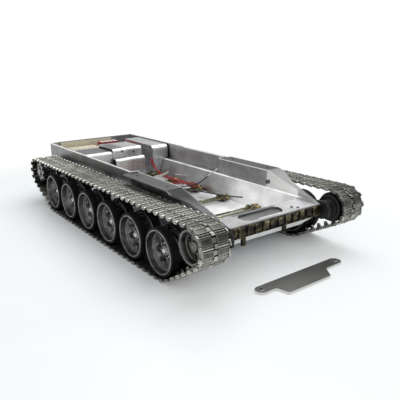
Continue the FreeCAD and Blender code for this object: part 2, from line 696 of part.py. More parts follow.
def make_sprocket(side):
    """Hub drum with two toothed rings, bored for the drive shaft."""
    sprocket = new_body("sprocket_%s" % side)
    sign = SIDES[side]
    half = "dims.wheel_width / 2"
    root = "dims.sprocket_tip - 3.4"
    section = new_sketch(sprocket, "sprocket_section_" + side, "XY_Plane")
    corners = [
        ("0", half + " - 2.2"),
        ("4.6", half + " - 2.2"),
        ("5.4", half + " - 5"),
        (root + " - 2.5", half + " - 3.4"),
        (root, half + " - 3.4"),
        (root, half + " - 5.8"),
        ("8.6", half + " - 5.8"),
        ("8.6", "-" + half + " + 5.8"),
        (root, "-" + half + " + 5.8"),
        (root, "-" + half + " + 3.4"),
        ("8.6", "-" + half + " + 3.4"),
        ("8.6", "-" + half + " + 1"),
        ("dims.shaft_radius + 0.05", "-" + half + " + 1"),
        ("dims.shaft_radius + 0.05", half + " - 6"),
        ("0", half + " - 6"),
    ]
    outline(section, [(radius, "%d * (%s)" % (sign, along)) for radius, along in corners])
    revolve(sprocket, "turned_drum_" + side, section)
    for ring_name, low in (("outer", half + " - 5.8"), ("inner", "-" + half + " + 3.4")):
        name = "%s_tooth_%s" % (ring_name, side)
        start = "%d * (%s)" % (-sign, low)
        tooth = new_sketch(sprocket, name + "_shape", "XZ_Plane", start)
        outline(tooth, [
            (root + " - 1", "-2.6"),
            ("dims.sprocket_tip - 0.1", "-0.9"),
            ("dims.sprocket_tip - 0.1", "0.9"),
            (root + " - 1", "2.6"),
        ])
        first = pad(sprocket, name, tooth, "2.4", reverse=(sign > 0))
        polar(sprocket, name + "_ring", [first], "Y_Axis", "dims.sprocket_teeth")
    return place(sprocket, "-dims.sprocket_behind", outward(side, "dims.wheel_middle"),
                 "dims.sprocket_height")


def gear_outline(sketch, teeth, turn):
    """Straight-sided gear teeth round a full circle; turn is the first tooth's angle."""
    module = value_of("dims.gear_module")
    pitch_radius = module * teeth / 2
    corners = []
    for number in range(teeth):
        middle = turn + 2 * math.pi * number / teeth
        for radius, half_width in ((pitch_radius - 1.2 * module, 0.95 * module),
                                   (pitch_radius + 0.9 * module, 0.36 * module)):
            spread = half_width / radius
            corners.append((radius, middle - spread, middle + spread))
    points = []
    for root, tip in zip(corners[0::2], corners[1::2]):
        for radius, angle in ((root[0], root[1]), (tip[0], tip[1]),
                              (tip[0], tip[2]), (root[0], root[2])):
            points.append(V(radius * math.cos(angle), radius * math.sin(angle), 0))
    total = len(points)
    for index in range(total):
        sketch.addGeometry(Part.LineSegment(points[index], points[(index + 1) % total]), False)


def make_drive_shaft(side, gear_near):
    """Shaft from the gearbox to the sprocket, with its gear."""
    shaft = new_body("drive_shaft_%s" % side)
    sign = SIDES[side]
    outer = "dims.wheel_middle + dims.wheel_width / 2 - 6.6"
    gear = new_sketch(shaft, "gear_shape_" + side, "XZ_Plane", "%d * %s" % (-sign, gear_near))
    teeth = int(value_of("dims.gear_teeth"))
    gear_outline(gear, teeth, math.pi / teeth)
    pad(shaft, "gear_" + side, gear, "dims.gear_width", reverse=(sign > 0))
    core = new_sketch(shaft, "shaft_shape_" + side, "XZ_Plane",
                      "%d * (%s - 0.4)" % (-sign, gear_near))
    ring(core, "0", "0", "dims.shaft_radius")
    pad(shaft, "shaft_" + side, core, outer + " - %s + 0.4" % gear_near, reverse=(sign > 0))
    return place(shaft, "-dims.sprocket_behind", "0", "dims.sprocket_height")


MOTOR_X = ("-dims.sprocket_behind + dims.gear_module * (dims.gear_teeth + dims.pinion_teeth) / 2"
           " + dims.gear_backlash")


# Closed end of each motor can, out from the centre line on its own side.
MOTOR_BACK = {"right": "-4.5", "left": "5.5"}


def make_motor_pinion(side, gear_near):
    """Motor rotor, shaft and pinion, which turn as one."""
    pinion = new_body("motor_pinion_%s" % side)
    outward_side = SIDES[side] > 0
    lift = "%d * (%%s)" % -SIDES[side]
    shape = new_sketch(pinion, "pinion_shape_" + side, "XZ_Plane", lift % gear_near)
    gear_outline(shape, int(value_of("dims.pinion_teeth")), math.pi)
    pad(pinion, "pinion_" + side, shape, "dims.gear_width", reverse=outward_side)
    near = MOTOR_BACK[side] + " + dims.motor_skin + dims.rotor_gap"
    core = new_sketch(pinion, "motor_shaft_shape_" + side, "XZ_Plane", lift % near)
    ring(core, "0", "0", "dims.motor_shaft")
    length = "%s - (%s) + dims.gear_width" % (gear_near, near)
    pad(pinion, "motor_shaft_" + side, core, length, reverse=outward_side)
    rotor = new_sketch(pinion, "rotor_shape_" + side, "XZ_Plane", lift % near)
    ring(rotor, "0", "0", "dims.motor_radius - dims.motor_skin - dims.rotor_gap")
    pad(pinion, "rotor_" + side, rotor, "dims.motor_length - 2 * (dims.motor_skin + dims.rotor_gap)",
        reverse=outward_side)
    return place(pinion, MOTOR_X, "0", "dims.sprocket_height")


def make_motors():
    """Two hollow motor cans, end to end, each bored for its shaft."""
    cans = []
    for side, sign in SIDES.items():
        direction = "+Y" if sign > 0 else "-Y"
        back = (MOTOR_X, outward(side, MOTOR_BACK[side]), "dims.sprocket_height")
        inside = (MOTOR_X, outward(side, MOTOR_BACK[side] + " + dims.motor_skin"),
                  "dims.sprocket_height")
        body = rod("motor_body_" + side, "dims.motor_radius", "dims.motor_length", back, direction)
        boss = rod("motor_boss_" + side, "4", "dims.motor_length + 1.3", back, direction)
        solid = fuse("motor_solid_" + side, [body, boss])
        space = rod("motor_space_" + side, "dims.motor_radius - dims.motor_skin",
                    "dims.motor_length - 2 * dims.motor_skin", inside, direction)
        bore = rod("motor_bore_" + side, "dims.motor_shaft + dims.running_gap",
                   "dims.motor_length + 5", inside, direction)
        hollow = fuse("motor_hollow_" + side, [space, bore])
        cans.append(cut("motor_" + side, solid, hollow))
    return group("drive_motors", cans)


def block_along_y(body, name, corners, near, far, feature=pad):
    """Add or cut a prism whose side view is corners, between two distances left of the centre."""
    side_view = new_sketch(body, name + "_side", "XZ_Plane", "-(%s)" % near)
    outline(side_view, corners)
    feature(body, name, side_view, "(%s) - (%s)" % (far, near), reverse=(feature is pad))


def shell_side(front, corners_between, back, top, shell="0"):
    """Side view of a cover from its low front corner round to its low rear part."""
    rear = "-dims.case_rear + " + shell
    low = "dims.floor_height + 0.5" if shell == "0" else "dims.floor_height - 2"
    back = "-(%s) + %s" % (back, shell)
    return [(rear, low), (front, low)] + corners_between + [
        (back, "%s - %s" % (top, shell)),
        (back, "dims.case_low - " + shell),
        (rear, "dims.case_low - " + shell),
    ]


def make_cover_right():
    """Stepped cover over the motors, with a lower wing that reaches over the right ledge."""
    cover = new_body("gearbox_cover_right")
    skin = "dims.case_skin"
    bevel = "dims.shoulder_radius"
    front = "-dims.case_front_right"
    lip = front + " + 9"
    foot = front + " + 2.5"
    face = front + " - 2"
    back = "dims.case_back_right"
    top = "dims.case_height"
    wing = "dims.case_wing"
    step = "dims.case_step"
    over_bars = "dims.pivot_height + dims.anchor_radius + 0.5"
    edge, wall = "-dims.case_right_edge", "-dims.case_right_wall"
    motor_right, motor_left = "-dims.motor_cover_right", "dims.motor_cover_left"
    block_along_y(cover, "motor_cover", shell_side(foot, [
        (foot, over_bars), (lip, over_bars), (lip, step), (front, step), (front, top),
    ], back, top), motor_right, motor_left)
    block_along_y(cover, "gear_case", shell_side(face, [(face, wing)], back, wing),
                  wall, motor_right)
    ledge = "dims.bend_height + 0.6"
    block_along_y(cover, "case_ledge", [
        ("-dims.case_rear", ledge), (face, ledge), (face, wing), ("-" + back, wing),
        ("-" + back, "dims.case_low"), ("-dims.case_rear", "dims.case_low"),
    ], edge, wall)
    round_edges(cover, "shoulders", bevel, [(lip, step), (front, top), (face, wing)])
    block_along_y(cover, "motor_space", shell_side(foot + " - " + skin, [
        (foot + " - " + skin, over_bars),
        ("%s - %s" % (lip, skin), over_bars),
        ("%s - %s" % (lip, skin), "%s - %s" % (step, bevel)),
        (front + " + 4", "%s - %s" % (step, skin)),
        ("%s - %s" % (front, skin), "%s - %s" % (step, skin)),
        ("%s - %s" % (front, skin), "%s - %s" % (top, bevel)),
        ("%s - %s" % (front, bevel), "%s - %s" % (top, skin)),
    ], back, top, skin), motor_right, "%s - %s" % (motor_left, skin), pocket)
    block_along_y(cover, "gear_space", shell_side(face + " - " + skin, [
        ("%s - %s" % (face, skin), "%s - %s" % (wing, bevel)),
        ("%s - %s" % (face, bevel), "%s - %s" % (wing, skin)),
    ], back, wing, skin), "%s + %s" % (wall, skin), motor_right + " + 1", pocket)
    shaft_hole = new_sketch(cover, "right_shaft_hole", "XZ_Plane")
    ring(shaft_hole, "-dims.sprocket_behind", "dims.sprocket_height", "dims.shaft_radius + 1")
    pocket(cover, "right_shaft_opening", shaft_hole, "90", reverse=True)
    motor_hole = new_sketch(cover, "right_motor_hole", "XZ_Plane")
    ring(motor_hole, MOTOR_X, "dims.sprocket_height", "2.4")
    pocket(cover, "right_motor_opening", motor_hole, "60")
    vents = new_sketch(cover, "vent_holes", "YZ_Plane", front + " + 20")
    ring(vents, "-3.3", "72.2", "dims.vent_radius")
    ring(vents, "15", "70", "dims.vent_radius")
    pocket(cover, "vents", vents, "25")
    return cover


def make_cover_left():
    """Tall narrow cover beside the left wall, standing partly over the wall's ledge."""
    cover = new_body("gearbox_cover_left")
    skin = "dims.case_skin"
    bevel = "dims.shoulder_radius + 2"
    front = "-dims.case_front_left"
    foot = front + " - 11.5"
    back = "dims.case_back_left"
    top = "dims.case_height"
    over_bars = "dims.pivot_height + dims.anchor_radius + 0.5"
    inner, wall = "dims.case_left_inner", "dims.case_left_wall"
    block_along_y(cover, "left_case", shell_side(foot, [
        (foot, over_bars), (front, over_bars), (front, top),
    ], back, top), inner, wall)
    ledge = "dims.bend_height + 0.6"
    block_along_y(cover, "left_case_ledge", [
        ("-dims.case_rear", ledge), (front, ledge), (front, top), ("-" + back, top),
        ("-" + back, "dims.case_low"), ("-dims.case_rear", "dims.case_low"),
    ], wall, "dims.case_left_edge")
    round_edges(cover, "left_shoulder", bevel, [(front, top)])
    block_along_y(cover, "left_gear_space", shell_side(foot + " - " + skin, [
        (foot + " - " + skin, over_bars),
        ("%s - %s" % (front, skin), over_bars),
        ("%s - %s" % (front, skin), "%s - (%s)" % (top, bevel)),
        ("%s - (%s)" % (front, bevel), "%s - %s" % (top, skin)),
    ], back, top, skin), "%s + %s" % (inner, skin), "%s - %s" % (wall, skin), pocket)
    shaft_hole = new_sketch(cover, "left_shaft_hole", "XZ_Plane", "-43")
    ring(shaft_hole, "-dims.sprocket_behind", "dims.sprocket_height", "dims.shaft_radius + 1")
    pocket(cover, "left_shaft_opening", shaft_hole, "30")
    motor_hole = new_sketch(cover, "left_motor_hole", "XZ_Plane", "-43")
    ring(motor_hole, MOTOR_X, "dims.sprocket_height", "2.4")
    pocket(cover, "left_motor_opening", motor_hole, "30", reverse=True)
    return cover


def roller_z(number):
    """Height of a return roller, just under the sloping top run."""
    x = roller_x(number)
    run = "(dims.idler_height - dims.sprocket_height) / (dims.idler_ahead + dims.sprocket_behind)"
    pins = "dims.sprocket_height + dims.end_radius + (%s + dims.sprocket_behind) * %s" % (x, run)
    return pins + " - dims.track_half - dims.roller_radius - 0.4"


def roller_x(number):
    return "dims.wheel_pitch * %d" % (3 - 2 * number)


def make_return_roller(side, number):
    name = "return_roller_%s_%d" % (side, number)
    start_y = outward(side, "dims.wheel_middle - dims.wheel_width / 2 + 0.4")
    direction = "+Y" if side == "left" else "-Y"
    start = (roller_x(number), start_y, roller_z(number))
    full = rod(name + "_full", "dims.roller_radius", "8.4", start, direction)
    bore = rod(name + "_bore", "1.8 + dims.running_gap", "8.4", start, direction)
    return cut(name, full, bore)


def make_fixed_axles():
    """Idler cranks with their axles, and the return rollers' studs, all fixed to the hull."""
    solids = []
    crank_inner = "62.6"
    crank_width = "8"
    axle_inner = "63"
    for side in SIDES:
        to_left = side == "left"
        direction = "+Y" if to_left else "-Y"
        name = side + "_idler"
        crank_y = crank_inner if to_left else "-%s - %s" % (crank_inner, crank_width)
        crank = cuboid(name + "_crank", ("14", crank_width, "7"),
                       ("dims.idler_ahead - 13", crank_y, "dims.idler_height - 4.5"))
        at = ("dims.idler_ahead", outward(side, axle_inner), "dims.idler_height")
        axle_length = "dims.wheel_middle + dims.wheel_width / 2 - 6.2 - " + axle_inner
        axle = rod(name + "_axle", "dims.axle_radius", axle_length, at, direction)
        solids.append(fuse(name + "_crank_axle", [crank, axle]))
        for number in ROLLERS:
            stud_name = "%s_roller_stud_%d" % (side, number)
            inner_gap = "dims.bend_half + dims.skin + 0.2"
            if number == 2:
                inner_gap = "dims.wall_half + dims.skin + 0.2"
            at = (roller_x(number), outward(side, inner_gap), roller_z(number))
            length = "dims.wheel_middle - dims.wheel_width / 2 + 8.4 - (%s)" % inner_gap
            stud = rod(stud_name + "_pin", "1.8", length, at, direction)
            collar_length = "dims.wheel_middle - dims.wheel_width / 2 - (%s)" % inner_gap
            collar = rod(stud_name + "_collar", "3", collar_length, at, direction)
            solids.append(fuse(stud_name, [stud, collar]))
    return group("fixed_axles", solids)


# ---------------------------------------------------------------- tracks

def track_loop(side):
    """Closed wire through the link pins: four arcs and the straight runs that join them."""
    behind = value_of("dims.stagger") if side == "left" else 0
    row_half = value_of("dims.wheel_pitch") * 2.5
    corner = value_of("dims.corner_radius")
    corner_height = corner + value_of("dims.track_half")
    end_radius = value_of("dims.end_radius")
    circles = [
        (V(-value_of("dims.sprocket_behind"), 0, value_of("dims.sprocket_height")), end_radius),
        (V(-row_half - behind, 0, corner_height), corner),
        (V(row_half - behind, 0, corner_height), corner),
        (V(value_of("dims.idler_ahead"), 0, value_of("dims.idler_height")), end_radius),
    ]
    tangents = []
    for index in range(len(circles)):
        centre, radius = circles[index]
        next_centre, next_radius = circles[(index + 1) % len(circles)]
        span = next_centre - centre
        along = V(span).normalize()
        right = V(along.z, 0, -along.x)
        lean = (radius - next_radius) / span.Length
        normal = along * lean + right * math.sqrt(1 - lean * lean)
        tangents.append((centre + normal * radius, next_centre + normal * next_radius))
    edges = []
    for index in range(len(circles)):
        leave, arrive = tangents[index]
        next_leave = tangents[(index + 1) % len(circles)][0]
        centre, radius = circles[(index + 1) % len(circles)]
        edges.append(Part.LineSegment(leave, arrive).toShape())
        bisector = (arrive - centre) + (next_leave - centre)
        middle = centre + bisector.normalize() * radius
        edges.append(Part.Arc(arrive, middle, next_leave).toShape())
    return Part.Wire(edges)


def link_shape(length):
    """One link, centred on its pin line: plate, two outer pads, tooth windows and guide horn."""
    half = value_of("dims.track_half")
    width = value_of("dims.track_width")
    long = length - value_of("dims.link_gap")
    window = value_of("dims.wheel_width") / 2 - 4.6
    link = Part.makeBox(long, width, half + 0.6, V(-long / 2, -width / 2, -0.6))
    for sign in (-1, 1):
        pad_width = width / 2 - 2.2
        low = 1.2 if sign > 0 else -1.2 - pad_width
        block = Part.makeBox(long - 2.4, pad_width, half, V(1.2 - long / 2, low, -half))
        link = link.fuse(block)
        slot = Part.makeBox(long - 3.6, 3.6, 4 * half,
                            V(1.8 - long / 2, sign * window - 1.8, -2 * half))
        link = link.cut(slot)
    horn_base = [V(-2.6, 0, half - 0.3), V(2.6, 0, half - 0.3),
                 V(1.2, 0, half + value_of("dims.horn_height")),
                 V(-1.2, 0, half + value_of("dims.horn_height"))]
    face = Part.Face(Part.makePolygon(horn_base + horn_base[:1]))
    horn = face.extrude(V(0, 3.2, 0))
    horn.translate(V(0, -1.6, 0))
    return link.fuse(horn).removeSplitter()


def make_track(side):
    """Separate links round the loop, each between two neighbouring pins."""
    loop = track_loop(side)
    count = int(value_of("dims.link_count"))
    pins = loop.discretize(Number=count + 1)[:-1]
    link = link_shape(loop.Length / count)
    links = []
    for index in range(count):
        start = pins[index]
        finish = pins[(index + 1) % count]
        along = finish - start
        angle = math.degrees(math.atan2(along.z, along.x))
        copy = link.copy()
        middle = (start + finish) * 0.5
        copy.Placement = FreeCAD.Placement(middle, FreeCAD.Rotation(V(0, 1, 0), -angle))
        links.append(copy)
    track = doc.addObject("Part::Feature", "track_" + side)
    track.Shape = Part.makeCompound(links)
    return place(track, "0", outward(side, "dims.wheel_middle - 0.35"), "0")


# ---------------------------------------------------------------- wiring

def wire_run(points, radius):
    """A round cable along a smooth curve through points."""
    path = Part.BSplineCurve()
    path.interpolate([V(*point) for point in points])
    spine = Part.Wire([path.toShape()])
    start = V(*points[0])
    direction = path.tangent(path.FirstParameter)[0]
    profile = Part.Wire([Part.makeCircle(radius, start, direction)])
    return spine.makePipeShell([profile], True, True)


# Cable routes, each a radius and the points its middle line passes through.
CABLES = [
    # red pair from between the covers down to the plug on the floor
    (0.9, [(-97, 29.6, 62), (-92, 33, 48), (-74, 37.6, 40.4), (-42, 37.6, 39.6), (-12, 36.2, 40.4)]),
    (0.9, [(-97, 32.6, 60), (-93, 36.4, 45), (-76, 34.7, 39.6), (-44, 34.7, 38.9), (-12, 32.6, 40.4)]),
    # red cable that lies alone beside them
    (0.8, [(-104, 12, 44), (-84, 14, 39.4), (-40, 20, 38.8), (-14, 29, 40.4)]),
    # black cable that rises from the floor and ends in the air
    (0.8, [(-60, 6, 38.6), (-30, 12, 38.6), (-8, 22, 39.6), (14, 33, 47), (30, 38, 60), (40, 42, 68)]),
    # black cable along the floor towards the nose
    (0.8, [(-2, 18, 38.8), (14, 25, 38.8), (34, 30, 39.4), (66, 38, 40.4), (84, 44, 42)]),
    # white ends of two spare leads
    (0.7, [(-76, 22, 39.2), (-66, 30, 42.4), (-60, 36, 46.4)]),
    (0.7, [(-79, 25, 39.2), (-70, 33, 42.8), (-65, 39, 47.2)]),
    (0.7, [(-56, 44.4, 43.4), (-44, 45, 44.6), (-34, 45.6, 46)]),
]


def terminal_board():
    """Board on short feet over the covers' low rear part, with an upright board behind it."""
    low = value_of("dims.case_low") + 0.1
    board = Part.makeBox(46, 84, 1.6, V(-216, -54, low + 2.3))
    for x, y in ((-202, -44), (-202, 20), (-174, -44), (-174, 20)):
        board = board.fuse(Part.makeBox(4, 4, 2.4, V(x, y, low)))
    return board.fuse(Part.makeBox(1.6, 84, 14.2, V(-220.6, -54, low + 2.3)))


def make_wiring():
    """Cables on the floor with their plug, and the terminal board behind the covers."""
    solids = [wire_run(points, radius) for radius, points in CABLES]
    board_top = value_of("dims.case_low") + 4
    solids.append(terminal_board())
    solids.append(Part.makeBox(33, 46, 6.5, V(-210, -50, board_top)))
    solids.append(Part.makeBox(18, 28, 11.5, V(-206, 0, board_top)))
    for index in range(5):
        solids.append(Part.makeBox(4, 5.2, 5, V(-217.5, -50 + 9 * index, board_top)))
    solids.append(Part.makeBox(14, 9, 4.4, V(-9, 30, 38.8)))
    wiring = doc.addObject("Part::Feature", "wiring_loom")
    wiring.Shape = Part.makeCompound(solids)
    wiring.Placement = FreeCAD.Placement()
    return wiring


# ---------------------------------------------------------------- whole chassis

def build_pieces():
    pieces = [make_hull(), make_front_plate(), make_cover_plate(), make_plate_screws()]
    pieces += make_torsion_bars()
    pieces.append(group("gearbox_covers", [make_cover_right(), make_cover_left()]))
    pieces += [make_motors(), make_fixed_axles(), make_wiring()]
    gear_near = {"right": "20.5", "left": "41"}
    for side in SIDES:
        pieces.append(make_track(side))
        pieces.append(make_sprocket(side))
        pieces.append(make_idler(side))
        pieces.append(make_drive_shaft(side, gear_near[side]))
        pieces.append(make_motor_pinion(side, gear_near[side]))
        for number in ROLLERS:
            pieces.append(make_return_roller(side, number))
        for number in WHEELS:
            pieces.append(make_road_wheel(side, number))
            pieces.append(make_tyre(side, number))
            pieces.append(make_swing_arm(side, number))
    return pieces


def check_and_write(pieces):
    doc.recompute()
    for thing in doc.Objects:
        bad = [state for state in thing.State if state in ("Invalid", "Error")]
        if bad:
            raise RuntimeError("%s is %s" % (thing.Name, ", ".join(bad)))
    for piece in pieces:
        if piece.Shape.isNull() or not piece.Shape.isValid():
            raise RuntimeError("%s has no valid shape" % piece.Label)
    os.makedirs("parts", exist_ok=True)
    for piece in pieces:
        piece.Shape.exportStep(os.path.join("parts", piece.Label + ".step"))
    print("wrote %d pieces" % len(pieces))


check_and_write(build_pieces())
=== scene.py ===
"""Looks of a tracked model tank chassis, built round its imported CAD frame.

Lengths in the shape functions are in millimetres and become metres when a mesh is made.
Lengths in the materials, the lights and the camera are in metres.
"""

import json
import math

import bmesh
import bpy
from mathutils import Matrix, Vector


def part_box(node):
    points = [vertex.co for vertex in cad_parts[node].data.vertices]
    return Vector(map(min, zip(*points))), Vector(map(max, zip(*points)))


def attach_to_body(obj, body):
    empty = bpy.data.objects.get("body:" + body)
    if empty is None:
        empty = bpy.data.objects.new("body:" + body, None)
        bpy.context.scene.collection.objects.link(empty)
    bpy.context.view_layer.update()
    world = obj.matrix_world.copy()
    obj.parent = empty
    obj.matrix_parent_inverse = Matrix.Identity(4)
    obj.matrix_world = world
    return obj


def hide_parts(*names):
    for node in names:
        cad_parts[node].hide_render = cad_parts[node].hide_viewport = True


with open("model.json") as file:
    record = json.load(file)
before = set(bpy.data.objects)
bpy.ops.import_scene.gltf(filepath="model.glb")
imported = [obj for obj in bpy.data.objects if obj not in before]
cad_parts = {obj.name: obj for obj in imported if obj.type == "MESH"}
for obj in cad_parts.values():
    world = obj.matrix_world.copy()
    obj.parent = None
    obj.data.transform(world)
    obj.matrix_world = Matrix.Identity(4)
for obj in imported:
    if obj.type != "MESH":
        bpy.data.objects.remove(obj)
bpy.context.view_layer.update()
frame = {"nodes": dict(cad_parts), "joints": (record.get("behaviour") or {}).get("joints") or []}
nodes = frame["nodes"]
joints = {joint["name"]: joint for joint in frame["joints"]}

MM = 0.001
SIDES = {"right": -1, "left": 1}
WHEELS = range(1, 7)
ROLLERS = (1, 2)

TRACK_MIDDLE = 89.55      # middle of a track from the chassis's middle plane
TRACK_HALF_WIDTH = 16.1
LINK_COUNT = 84
LINK_HALF = 1.6           # half the thickness of a link
END_RADIUS = 18.3         # pin line round the sprocket and the idler
CORNER_RADIUS = 32.0      # pin line where the track leaves and meets the ground
PIN_OFFSET = 1.15         # each of a link's two pins from the joint between links
WHEEL_HALF = 12.9         # half the width of a wheel
WEB = 3.5                 # outer face of a wheel's dish from its middle

# Spans from the chassis's middle plane, on one side.
BAR_NUT = (40.5, 45.7)
BAR_COLLAR = (45.7, 47.4)
WALL_BUSH = (42.5, 47.4)
BRACKET = (36.2, 38.6)
BRACKET_FOOT = (33.5, 38.6)
BRACKET_BUSH = (34.4, 36.3)
CRANK_PLATE = (61.8, 64.6)
CRANK_BOLT = (64.4, 66.4)
DRIVE_HOUSING = (60.3, 67.4)
DRIVE_BOLT = (67.2, 69.0)

BAR_HEIGHT = 3.2          # a torsion bar's middle above the hull floor
TRAY = (51.4, 52.3)       # heights of the deck tray's faces
LIP = (52.2, 53.9)
DECK = 53.9               # height of the nose deck
CHEEK_FRONT = {"left": -105.3, "right": -119.3}
CHEEK_INNER = {"left": 47.25, "right": 46.1}

# Where the hull's look changes, in metres: heights, and places from back to front.
FLOOR_TOP = 0.0321
CREASE = 0.056
FLANGE_START, SLOPE_START, SLOPE_END = 0.0238, 0.109, 0.155


def joint_place(name):
    """A joint's place in millimetres."""
    return Vector(joints[name]["pos_m"]) / MM


def corners(node):
    """A CAD node's low and high corners in millimetres."""
    return [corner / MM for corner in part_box(node)]


def attach(piece, body, stands_for=None):
    """Puts a piece on a body, and in place of a CAD node if one is named."""
    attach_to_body(piece, body)
    if stands_for:
        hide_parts(stands_for)


# ---------------------------------------------------------------- node materials

class Shader:
    """A material's node tree, with a short call for each kind of node used."""

    def __init__(self, name):
        self.material = bpy.data.materials.new(name)
        self.material.use_nodes = True
        self.tree = self.material.node_tree
        self.base = self.tree.nodes["Principled BSDF"]
        self.place = self.tree.nodes.new("ShaderNodeTexCoord").outputs["Object"]

    def node(self, kind, inputs=None, **settings):
        made = self.tree.nodes.new("ShaderNode" + kind)
        for name, value in settings.items():
            setattr(made, name, value)
        for name, value in (inputs or {}).items():
            self.put(made.inputs[name], value)
        return made

    def put(self, socket, value):
        if isinstance(value, bpy.types.NodeSocket):
            self.tree.links.new(value, socket)
        else:
            socket.default_value = value

    def stretch(self, scale):
        """Object coordinates scaled per axis, so that a pattern can run in long strokes."""
        return self.node("Mapping", {"Vector": self.place, "Scale": scale}).outputs[0]

    def noise(self, scale, vector=None, detail=4.0, roughness=0.55):
        return self.node("TexNoise", {
            "Vector": vector or self.place, "Scale": scale, "Detail": detail,
            "Roughness": roughness}).outputs["Fac"]

    def remap(self, value, low, high, to_low=0.0, to_high=1.0):
        """A number that goes from to_low to to_high while value goes from low to high."""
        return self.node("MapRange", {
            "Value": value, "From Min": low, "From Max": high,
            "To Min": to_low, "To Max": to_high}, clamp=True).outputs["Result"]

    def below(self, value, low, high):
        """1 up to low and 0 from high on."""
        return self.remap(value, low, high, 1.0, 0.0)

    def inside(self, value, low, high, soft=0.0003):
        """1 where the value lies between low and high."""
        return self.times(self.remap(value, low - soft, low), self.below(value, high, high + soft))

    def spread(self, noise, to_low=0.0, to_high=1.0):
        """The middle range of a noise, stretched from one number to another."""
        return self.remap(noise, 0.3, 0.7, to_low, to_high)

    def math(self, operation, first, second=0.0):
        return self.node("Math", {0: first, 1: second}, operation=operation).outputs[0]

    def times(self, result, *others):
        """All the numbers multiplied together."""
        for other in others:
            result = self.math("MULTIPLY", result, other)
        return result

    def most(self, result, *others):
        """The largest of the numbers."""
        for other in others:
            result = self.math("MAXIMUM", result, other)
        return result

    def size(self, value):
        return self.math("ABSOLUTE", value)

    def hypotenuse(self, first, second):
        squares = self.math("ADD", self.times(first, first), self.times(second, second))
        return self.math("SQRT", squares)

    def mix(self, share, first, second, kind="RGBA"):
        """Goes from the first colour to the second as share goes from 0 to 1."""
        return self.node("Mix", {"Factor": share, "A": first, "B": second},
                         data_type=kind).outputs["Result"]

    def blend(self, share, first, second):
        """Goes from the first number to the second as share goes from 0 to 1."""
        return self.mix(share, first, second, "FLOAT")

    def scaled(self, tone, factor):
        """A colour made lighter or darker by a number."""
        return self.node("VectorMath", {0: tone, "Scale": factor}, operation="SCALE").outputs[0]

    def painted_hollow_shade(self, tone, distance, low, high, deep):
        """Painted shade: a colour scaled by deep where it lies in a hollow, found by ambient occlusion.
        """
        made = self.node("AmbientOcclusion", {"Distance": distance}, samples=6)
        return self.scaled(tone, self.remap(made.outputs["AO"], low, high, deep, 1.0))

    def edges(self, low=0.51, high=0.58):
        """1 on outer edges and 0 on flat ground, from the mesh's own curvature."""
        return self.remap(self.node("NewGeometry").outputs["Pointiness"], low, high)

    def split(self, vector):
        """A vector's X, Y and Z."""
        return self.node("SeparateXYZ", {"Vector": vector}).outputs[:3]

    def axes(self):
        """The point's X, Y and Z in the object's own frame, in metres."""
        return self.split(self.place)

    def world_axes(self):
        """The point's X, Y and Z in the scene, in metres."""
        return self.split(self.node("NewGeometry").outputs["Position"])

    def facing(self, axis):
        """How far the surface faces along an axis, from -1 to 1."""
        return self.split(self.node("NewGeometry").outputs["Normal"])["XYZ".index(axis)]

    def radius(self):
        """Distance from the object's own Y axis."""
        x, _, z = self.axes()
        return self.hypotenuse(x, z)

    def bump(self, height, strength, distance=0.00005):
        return self.node("Bump", {
            "Height": height, "Strength": strength, "Distance": distance}).outputs["Normal"]

    def finish(self, **inputs):
        for name, value in inputs.items():
            self.put(self.base.inputs[name.replace("_", " ")], value)
        return self.material


def grey(value, warm=0.0):
    return (value * (1 + 0.1 * warm), value, value * (1 - warm), 1.0)


def brushed_metal(name, light, dark, grain, rough, warm=0.0, tint_scale=14.0, strength=0.16,
                  painted_light_by_place=None, frost=None, painted_glow=None, hollow=0.012, deep=0.6):
    """Rolled sheet with brushing strokes and cloudy marks; painted light and shade, frost and a painted
    glow go by place, and its hollows get painted shade.
    """
    s = Shader(name)
    strokes = s.noise(1.0, s.stretch(grain), detail=3.0)
    clouds = s.noise(tint_scale, detail=5.0)
    fine = s.noise(1900.0, detail=2.0)
    tone = s.mix(s.spread(clouds), grey(dark, warm), grey(light, warm))
    tone = s.mix(s.remap(strokes, 0.35, 0.65, 0.0, 0.22), tone, grey(dark * 0.72, warm))
    if painted_light_by_place:
        tone = s.scaled(tone, painted_light_by_place(s, clouds))
    if painted_glow:
        s.finish(Emission_Color=(1.0, 1.0, 0.96, 1.0), Emission_Strength=painted_glow(s, clouds))
    height = s.math("ADD", strokes, s.times(fine, 0.25))
    return s.finish(Base_Color=s.painted_hollow_shade(tone, hollow, 0.15, 0.8, deep),
                    Metallic=frost(s) if frost else 1.0,
                    Roughness=s.times(s.spread(strokes, 0.82, 1.22), rough),
                    Normal=s.bump(height, strength, 0.00006))


def cast_metal(name, light, dark, rough, metallic=0.9, warm=0.0, pits=420.0, hollow=0.003,
               edge=0.5, strength=0.35, painted_light_by_place=None, deep=0.25):
    """Cast or blackened metal: pitted surface, painted shade in its hollows, bright rubbed edges, and
    painted light and shade by place.
    """
    s = Shader(name)
    patches = s.noise(90.0, detail=6.0)
    grains = s.noise(pits, detail=3.0)
    tone = s.mix(s.remap(patches, 0.32, 0.68), grey(dark, warm), grey(light, warm))
    tone = s.mix(s.remap(grains, 0.55, 0.75, 0.0, 0.35), tone, grey(dark * 0.6, warm))
    tone = s.mix(s.times(s.edges(0.505, 0.56), edge), tone, grey(light * 1.9, warm))
    if painted_light_by_place:
        tone = s.scaled(tone, painted_light_by_place(s, patches))
    return s.finish(Base_Color=s.painted_hollow_shade(tone, hollow, 0.2, 0.85, deep), Metallic=metallic,
                    Roughness=s.math("ADD", s.spread(patches, -0.07, 0.09), rough),
                    Normal=s.bump(grains, strength, 0.00012))


